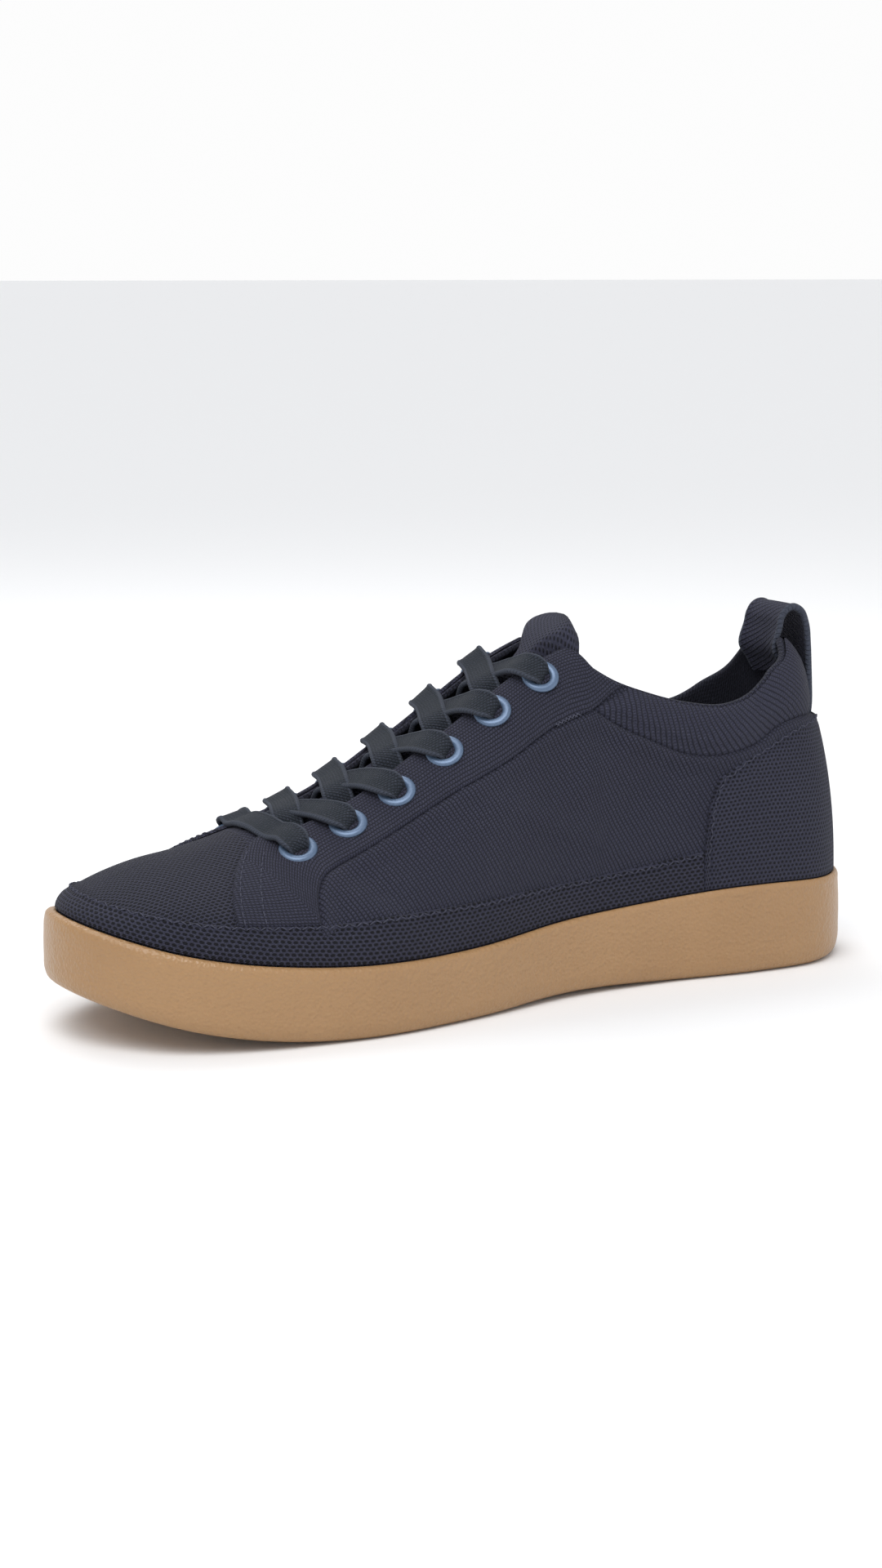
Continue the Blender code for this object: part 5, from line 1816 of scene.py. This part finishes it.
@dataclass
class Lacing:
    """Elastic strips through the eyelets, and the eyelets.

    Pairs are counted from the toe; out is an eyelet's distance from the ridge, and shift how
    far the lateral row lies ahead. The tuck's sizes are shares of the throat and of the gap
    between two pairs.
    """

    width: float = LACE_WIDTH
    tail_width: float = 0.0044
    thickness: float = 0.0011
    bead: float = 0.0018
    bow: float = 0.0030
    tuck_reach: float = 1.28
    tuck_ahead: float = 1.02
    pairs: int = 6
    outer: float = 0.0058
    hole: float = 0.0031
    flange: float = 0.0010
    sides: int = 40
    first: float = 0.743 * LENGTH
    last: float = 0.434 * LENGTH
    out_first: float = 0.215 * BALL_WIDTH
    out_last: float = 0.177 * BALL_WIDTH
    shift: float = 0.012 * LENGTH
    seat_height: float = 0.0011
    strip: Strip = field(init=False)

    def __post_init__(self) -> None:
        """Make the tape that all rows are cut from."""
        self.strip = Strip(self.width, self.thickness, self.bead)

    def seat(self, side: Side, pair: int) -> tuple[np.ndarray, np.ndarray]:
        """Centre and normal of an eyelet on the raised eyestay.

        Args:
            side: Side of the shoe.
            pair: Eyelet pair, 0 at the toe.

        Returns:
            The point and its unit normal.
        """
        share = pair / (self.pairs - 1)
        x = self.first + (self.last - self.first) * share
        if side is Side.LATERAL:
            x += self.shift
        out = self.out_first + (self.out_last - self.out_first) * share
        point, normal = LAST.over(x, float(LAST.ridge(np.array(x))[1]) + side.value * out)
        return point + normal * self.seat_height, normal

    def eyelet(self, side: Side, pair: int) -> None:
        """Turned ring with a rounded flange and a barrel into the wall.

        Args:
            side: Side of the shoe.
            pair: Eyelet pair, 0 at the toe.
        """
        centre, normal = self.seat(side, pair)
        across = unit(np.cross(normal, [1.0, 0.0, 0.0]))
        ahead = np.cross(across, normal)
        middle = (self.outer + self.hole) / 2
        reach = (self.outer - self.hole) / 2
        profile = [(self.hole, -UPPER_WALL - 0.0012), (self.hole, -0.0006)]
        for angle in np.linspace(pi, 0, 11):
            profile.append((middle + reach * cos(angle), self.flange * sin(angle) ** 0.8 - 0.0001))
        profile.append((self.outer - 0.0004, -0.0004))
        grid = []
        for k in range(self.sides):
            way = ahead * cos(2 * pi * k / self.sides) + across * sin(2 * pi * k / self.sides)
            grid.append([centre + way * r + normal * h for r, h in profile])
        grid = np.array(grid)
        name = f"eyelet_{side.word}_{pair + 1}"
        Piece(name + "_ring", "enamel", "enamel", (name,)).make([(grid, grid[..., :2], True, False)])

    def leave(self, side: Side, pair: int, towards: np.ndarray) -> list[list[np.ndarray]]:
        """Frames of a strip coming up out of an eyelet towards a point.

        Args:
            side: Side of the shoe.
            pair: Eyelet pair, 0 at the toe.
            towards: Point that the strip makes for.

        Returns:
            Points, upward directions and widths.
        """
        point, normal = self.seat(side, pair)
        aim = towards - point
        aim = unit(aim - normal * np.dot(aim, normal))
        frames = [[], [], []]
        for out, lift, lean, spread in LACE_RISE:
            frames[0].append(point + aim * out * self.outer + normal * lift * self.outer)
            frames[1].append(normal * cos(radians(lean)) - aim * sin(radians(lean)))
            frames[2].append(self.tail_width + (self.width - self.tail_width) * spread)
        return frames

    def raised(self, x: float, y: float, lift: float) -> tuple[np.ndarray, np.ndarray]:
        """Point and normal at a height over the raised eyestay."""
        point, normal = LAST.over(x, y)
        return point + normal * (RAISE + lift), normal

    def crossing(self, side: Side, pair: int, end_x: float, middle: float) -> tuple[np.ndarray, np.ndarray]:
        """Strip from an eyelet over the throat, tucked under the other eyestay.

        Args:
            side: Side of the shoe.
            pair: Eyelet pair, 0 at the toe.
            end_x: Distance of the tuck from the heel back.
            middle: Lift where the strips cross.

        Returns:
            Points and map of the strip.
        """
        start = self.seat(side, pair)[0]
        centre = float(LAST.ridge(start[0])[1])
        end = np.array([end_x, centre - side.value * self.tuck_reach * THROAT_HALF, start[2]])
        points, ups, widths = self.leave(side, pair, end)
        span = abs(start[1] - end[1])
        for part, lift, crossing in LACE_PATH:
            if part * span < 1.25 * self.outer:
                continue
            x = start[0] + (end_x - start[0]) * part
            y = start[1] + (end[1] - start[1]) * part
            point, normal = self.raised(x, y, lift * THROAT_HALF + middle * crossing)
            points.append(point)
            ups.append(normal)
            widths.append(self.width)
        return self.strip.grid(np.array(points), np.array(ups), np.array(widths))

    def bar(self) -> None:
        """First row: one strip straight across, down into an eyelet at each end."""
        medial = self.seat(Side.MEDIAL, 0)[0]
        lateral = self.seat(Side.LATERAL, 0)[0]
        points, ups, widths = self.leave(Side.MEDIAL, 0, lateral)
        back = self.leave(Side.LATERAL, 0, medial)
        for part in (0.25, 0.38, 0.5, 0.62, 0.75):
            x = medial[0] + (lateral[0] - medial[0]) * part + self.bow * sin(pi * part)
            y = medial[1] + (lateral[1] - medial[1]) * part
            point, normal = self.raised(float(x), float(y), self.thickness * 0.9)
            points.append(point)
            ups.append(normal)
            widths.append(self.width)
        points += back[0][::-1]
        ups += back[1][::-1]
        widths += back[2][::-1]
        grid, chart = self.strip.grid(np.array(points), np.array(ups), np.array(widths))
        Piece("lace_bar_strip", "elastic", "elastic", ("lace_bar",)).make([(grid, chart, True, False)])

    def build(self) -> None:
        """Eyelets, bar and crossings."""
        for side in Side:
            for pair in range(self.pairs):
                self.eyelet(side, pair)
        self.bar()
        gap = (self.first - self.last) / (self.pairs - 1)
        for pair in range(1, self.pairs):
            end_x = self.first - gap * pair + self.tuck_ahead * gap
            node = f"lace_cross_{pair + 1}"
            for side, lift in ((Side.LATERAL, 0.85), (Side.MEDIAL, 0.05)):
                grid, chart = self.crossing(side, pair, end_x, lift * self.thickness)
                name = f"{node}_{side.word}"
                Piece(name, "elastic", "elastic", (node,)).make([(grid, chart, True, False)])


@dataclass
class Tongue:
    """Padded tongue, flared where it rises above the collar.

    shoulder is the share of the length from which its top corners are rounded off.
    """

    wall: float = 0.0026
    shoulder: float = 0.440
    rows: int = 90
    columns: int = 41

    def build(self) -> None:
        """Closed padded sheet with rounded rim."""
        front = TONGUE.rows[-1][0]
        back = TONGUE.rows[0][0]
        steps = np.linspace(0, 1, self.rows)
        closer = 0.6 + 0.4 * np.sqrt(np.clip((steps - 0.6) / 0.4, 0, 1))
        along = front + (back - front) * np.where(steps > 0.6, closer, steps)
        v = np.linspace(-1, 1, self.columns)
        top = np.zeros((len(along), len(v), 3))
        for i, share in enumerate(along):
            middle, wing, half, sweep, spread = (
                float(TONGUE[name](share)) for name in ("middle", "wing", "half", "sweep", "crown")
            )
            taper = float(np.clip((self.shoulder - share) / (self.shoulder - back), 0, 1))
            half *= (1 - 0.97 * taper**5) ** 0.5
            for j, side in enumerate(v):
                x = share * LENGTH - sweep * THROAT_HALF * side**2
                centre = float(LAST.ridge(np.array(x))[1])
                point, normal = LAST.over(x, centre + side * half * THROAT_HALF)
                crown = float(ease((spread - abs(side)) / 0.34))
                top[i, j] = point + normal * (wing + (middle - wing) * crown) * THROAT_HALF
        normals = unit(np.cross(np.gradient(top, axis=1), np.gradient(top, axis=0)))
        normals *= np.where(np.sum(normals * np.array([0, 0, 1.0]), axis=-1, keepdims=True) < 0, -1, 1)
        lower = top - normals * self.wall
        run = run_of(top[:, self.columns // 2])
        chart = chart_of(run, np.broadcast_to(v * 0.018, top.shape[:2]))
        rim_out = np.concatenate([top[:, :1], lower[:, :1]], axis=1)
        rim_in = np.concatenate([lower[:, -1:], top[:, -1:]], axis=1)
        round_end = (top[-1] + lower[-1]) / 2 + unit(top[-1] - top[-2]) * 0.5 * self.wall
        crest = np.stack([top[-1], round_end, lower[-1]], axis=0)
        flat = np.zeros((len(along), 2, 2))
        piece = Piece("tongue_pad", "tongue", "knit", ("tongue",))
        piece.make([
            (top, chart, False, False),
            (lower, chart, False, True),
            (rim_out, flat + chart[:, :1], False, True),
            (rim_in, flat + chart[:, -1:], False, True),
            (crest, np.stack([chart[-1]] * 3, axis=0), False, False),
        ])


@dataclass
class PullLoop:
    """Ribbed strap from inside the collar over to the heel counter."""

    width: float = LOOP_WIDTH
    thickness: float = 0.0016
    bead: float = 0.0024

    def build(self) -> None:
        """Strap with rolled edges along its smooth path."""
        pole = LAST.ridge(np.array(0.0))
        inner = UPPER_WALL + RAISE + 2 * CLEARANCE + self.thickness / 2
        outer = RAISE + 2 * CLEARANCE + self.thickness / 2 + 0.0004
        rows = []
        for height in LOOP_INSIDE:
            rise = LAST.rise_at_height(0.0, height * INSTEP_HEIGHT)
            point = LAST.point(0.0, rise) - LAST.normal(0.0, rise) * inner
            rows.append([*point, self.width / (pole[0] - point[0])])
        for out, height, bow in LOOP_OVER:
            rows.append([out * INSTEP_HEIGHT, 0.0, height * INSTEP_HEIGHT, bow])
        for height, tuck in LOOP_OUTSIDE:
            rise = LAST.rise_at_height(0.0, height * INSTEP_HEIGHT)
            point = LAST.point(0.0, rise) + LAST.normal(0.0, rise) * (outer - tuck * HEEL_TUCK)
            rows.append([*point, self.width / (pole[0] - point[0])])
        path = spline(np.array(rows), 8)
        centre, bow = path[:, :3], path[:, 3]
        along = unit(np.gradient(centre, axis=0))
        up = unit(np.cross(np.array([0.0, 1.0, 0.0]), along))
        ring = Strip(self.width, self.thickness, self.bead).ring(self.width)
        grid = []
        for i in range(len(centre)):
            y = ring[:, :1]
            bend = 0.5 * bow[i] / self.width * y**2
            lean = centre[i] + np.array([0.0, 1.0, 0.0]) * y + np.array([1.0, 0.0, 0.0]) * bend
            grid.append(lean - up[i] * ring[:, 1:])
        grid = np.array(grid).transpose(1, 0, 2)
        chart = np.stack([np.broadcast_to(run_of(centre)[None, :], grid.shape[:2]),
                          np.broadcast_to(ring[:, :1], grid.shape[:2])], axis=-1)
        Piece("pull_loop_strap", "loop", "rib_knit", ("pull_loop",)).make([(grid, chart, True, False)])


@dataclass
class Sole:
    """Moulded cupsole and the sock inside."""

    inset: float = 0.0050
    groove_depth: float = 0.0020
    groove_width: float = 0.0030
    sock: float = 0.0040
    columns: int = 480

    def levels(self, station: np.ndarray) -> list[tuple[np.ndarray, np.ndarray]]:
        """Inset and height of each control level of the side wall, from tread to cup floor.

        Args:
            station: Stations round the sole's plan.

        Returns:
            One pair for each level.
        """
        along = (1 - np.cos(pi * station)) / 2
        tread = LAST.tread(along)
        wall = LAST.rim(along) - tread
        cup = LAST.rim_wall(along)
        return [
            (self.inset + 0 * tread, tread),
            (0.52 * self.inset + 0 * tread, tread + 0.016 * wall),
            (0.20 * self.inset + 0 * tread, tread + 0.065 * wall),
            (0.05 * self.inset + 0 * tread, tread + 0.150 * wall),
            (0 * tread, tread + 0.380 * wall),
            (0.02 * self.inset + 0 * tread, tread + 0.700 * wall),
            (0.08 * self.inset + 0 * tread, tread + 0.890 * wall),
            (0.22 * cup, tread + 0.965 * wall),
            (0.50 * cup, tread + 1.000 * wall),
            (0.82 * cup, tread + 0.998 * wall),
            (0.98 * cup, tread + 0.975 * wall),
            (cup, tread + 0.930 * wall),
            (cup, LAST.floor(along)),
        ]

    def build(self) -> None:
        """Side wall, underside with grooves and cup floor, then the sock."""
        station = np.linspace(-1, 1, self.columns, endpoint=False)
        rings = []
        for depth, height in self.levels(station):
            plan = LAST.inset(station, depth)
            rings.append(np.concatenate([plan, height[:, None]], axis=1))
        rings = np.array(rings).transpose(1, 0, 2)
        wall = np.array([spline(ring, 4) for ring in rings])
        ways = (np.arange(self.columns) * 0.0012, np.arange(wall.shape[1]) * 0.0006)
        flat = np.stack(np.meshgrid(*ways, indexing="ij"), axis=-1)
        under = self.underside()
        inside = self.plate(LAST.floor, LAST.rim_wall)
        piece = Piece("outsole_cup", "rubber", "gum_rubber", ("outsole",))
        piece.make([(wall, flat, True, False), (*under, False, False), (*inside, False, True)])
        lift = CLEARANCE + self.sock
        margin = UPPER_WALL + 2 * CLEARANCE
        sock = self.plate(lambda a: LAST.floor(a) + lift, lambda a: LAST.rim_wall(a) + margin)
        edge = sock[0].copy()
        edge[..., 2] -= 0.75 * self.sock
        piece = Piece("insole_sock", "lining", "sock_cloth", ("insole",))
        piece.make([(*sock, False, True), (edge, sock[1], False, False)])

    def plate(self, height: Callable[[np.ndarray], np.ndarray],
              inset: Callable[[np.ndarray], np.ndarray]) -> tuple[np.ndarray, np.ndarray]:
        """Sheet across the plan at a height, inset from the outline.

        Args:
            height: Height at shares of LENGTH.
            inset: Inset at shares of LENGTH.

        Returns:
            Points and map of the sheet.
        """
        station = LAST.stations[::6]
        along = (1 - np.cos(pi * station)) / 2
        medial = LAST.inset(station, inset(along))
        lateral = LAST.inset(-station, inset(along))
        v = np.linspace(0, 1, 25)[None, :, None]
        plan = lateral[:, None, :] * (1 - v) + medial[:, None, :] * v
        z = np.broadcast_to(height(along)[:, None, None], plan.shape[:2] + (1,))
        return np.concatenate([plan, z], axis=-1), plan.copy()

    def underside(self) -> tuple[np.ndarray, np.ndarray]:
        """Tread with its cross grooves.

        Returns:
            Points and map of the tread.
        """
        edges = [0.0]
        for share in GROOVES:
            for step in (-0.55, -0.5, 0.5, 0.55):
                edges.append(share + step * self.groove_width / LENGTH)
        along = np.unique(np.concatenate([np.linspace(0, 1, 160), edges]))
        along = (1 - np.cos(pi * np.arccos(1 - 2 * np.clip(along, 0, 1)) / pi)) / 2
        station = np.arccos(1 - 2 * along) / pi
        medial = LAST.inset(station, self.inset)
        lateral = LAST.inset(-station, self.inset)
        width = np.maximum(np.linalg.norm(medial - lateral, axis=1), 1e-6)
        margin = np.clip(1.2 * self.inset / width, 0, 0.45)
        lines = [np.zeros_like(margin), margin * 0.98, margin]
        lines += [margin + (1 - 2 * margin) * t for t in np.linspace(0, 1, 14)[1:-1]]
        lines += [1 - margin, 1 - margin * 0.98, np.ones_like(margin)]
        v = np.stack(lines, axis=1)
        plan = lateral[:, None, :] * (1 - v[..., None]) + medial[:, None, :] * v[..., None]
        cut = np.zeros(len(along))
        for share in GROOVES:
            cut = np.maximum(cut, np.abs(along - share) < 0.51 * self.groove_width / LENGTH)
        inside = (v > 0.99 * margin[:, None]) & (v < 1 - 0.99 * margin[:, None])
        z = LAST.tread(along)[:, None] + self.groove_depth * cut[:, None] * inside
        return np.concatenate([plan, z[..., None]], axis=-1), plan.copy()


@dataclass
class Studio:
    """Pale floor, soft light and the camera at the photograph's angle.

    The focal length is in pixels of a picture whose long side is long_side.
    """

    azimuth: float = radians(26.9)
    elevation: float = radians(10.0)
    distance: float = 0.900
    target: tuple[float, float, float] = (0.143 - HEEL_CENTRE, 0.0, 0.0642)
    focal_pixels: float = 3.963 * 900
    long_side: float = 1920
    sensor: float = 36.0
    floor_reach: float = 60.0

    def camera(self) -> None:
        """Camera on the medial side, turned a little towards the toe."""
        level = cos(self.elevation)
        back = Vector((sin(self.azimuth) * level, cos(self.azimuth) * level, sin(self.elevation)))
        data = bpy.data.cameras.new("camera")
        data.sensor_width = self.sensor
        data.lens = self.focal_pixels * self.sensor / self.long_side
        data.clip_start = 0.01
        camera = bpy.data.objects.new("camera", data)
        camera.location = Vector(self.target) + back * self.distance
        camera.rotation_euler = back.to_track_quat("Z", "Y").to_euler()
        bpy.context.scene.collection.objects.link(camera)
        bpy.context.scene.camera = camera

    def light(self, name: str, place: tuple[float, float, float], size: float, power: float) -> None:
        """Square soft light aimed at the shoe.

        Args:
            name: Name of the light.
            place: Where it stands.
            size: Length of its side.
            power: Its watts.
        """
        data = bpy.data.lights.new(name, "AREA")
        data.size = size
        data.energy = power
        light = bpy.data.objects.new(name, data)
        light.location = place
        light.rotation_euler = (Vector(place) - Vector(self.target)).to_track_quat("Z", "Y").to_euler()
        bpy.context.scene.collection.objects.link(light)

    def sun(self) -> None:
        """Even soft light from high over the toe, the same all over the floor."""
        data = bpy.data.lights.new("sun", "SUN")
        data.angle = radians(50)
        data.energy = 1.5
        light = bpy.data.objects.new("sun", data)
        light.rotation_euler = Vector((0.35, 0.35, 0.87)).to_track_quat("Z", "Y").to_euler()
        bpy.context.scene.collection.objects.link(light)

    def build(self) -> None:
        """Floor, world, lights and camera."""
        mesh = bpy.data.meshes.new("floor")
        far = self.floor_reach
        corners = [(-far, -far, 0), (far, -far, 0), (far, far, 0), (-far, far, 0)]
        mesh.from_pydata(corners, [], [(0, 1, 2, 3)])
        mesh.materials.append(material_of("floor"))
        floor = bpy.data.objects.new("floor", mesh)
        bpy.context.scene.collection.objects.link(floor)
        world = bpy.data.worlds.new("studio")
        world.use_nodes = True
        graph = Nodes(world.node_tree)
        way = graph.add("TexCoord").outputs["Generated"]
        height = graph.add("SeparateXYZ", {"Vector": way}).outputs["Z"]
        sky = graph.mix(graph.between(height, 0.12, 0.30), (0.98, 0.98, 0.98, 1.0), (0.50, 0.51, 0.53, 1.0))
        graph.put(world.node_tree.nodes["Background"].inputs["Color"], sky)
        bpy.context.scene.world = world
        self.sun()
        self.light("key", (0.45, 0.50, 1.10), 0.6, 2.5)
        self.light("fill", (-0.60, 0.80, 0.50), 0.9, 1.2)
        self.light("rim", (0.10, -0.60, 0.90), 0.7, 4.0)
        self.camera()
        bpy.context.scene.view_settings.view_transform = "Standard"


def main() -> None:
    """Load the frame and dress the shoe."""
    logging.basicConfig(level=logging.INFO, format="%(message)s")
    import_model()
    Studio().build()
    Sole().build()
    Shell().build()
    Overlays().build()
    Tongue().build()
    Lacing().build()
    PullLoop().build()


if __name__ == "__main__":
    main()
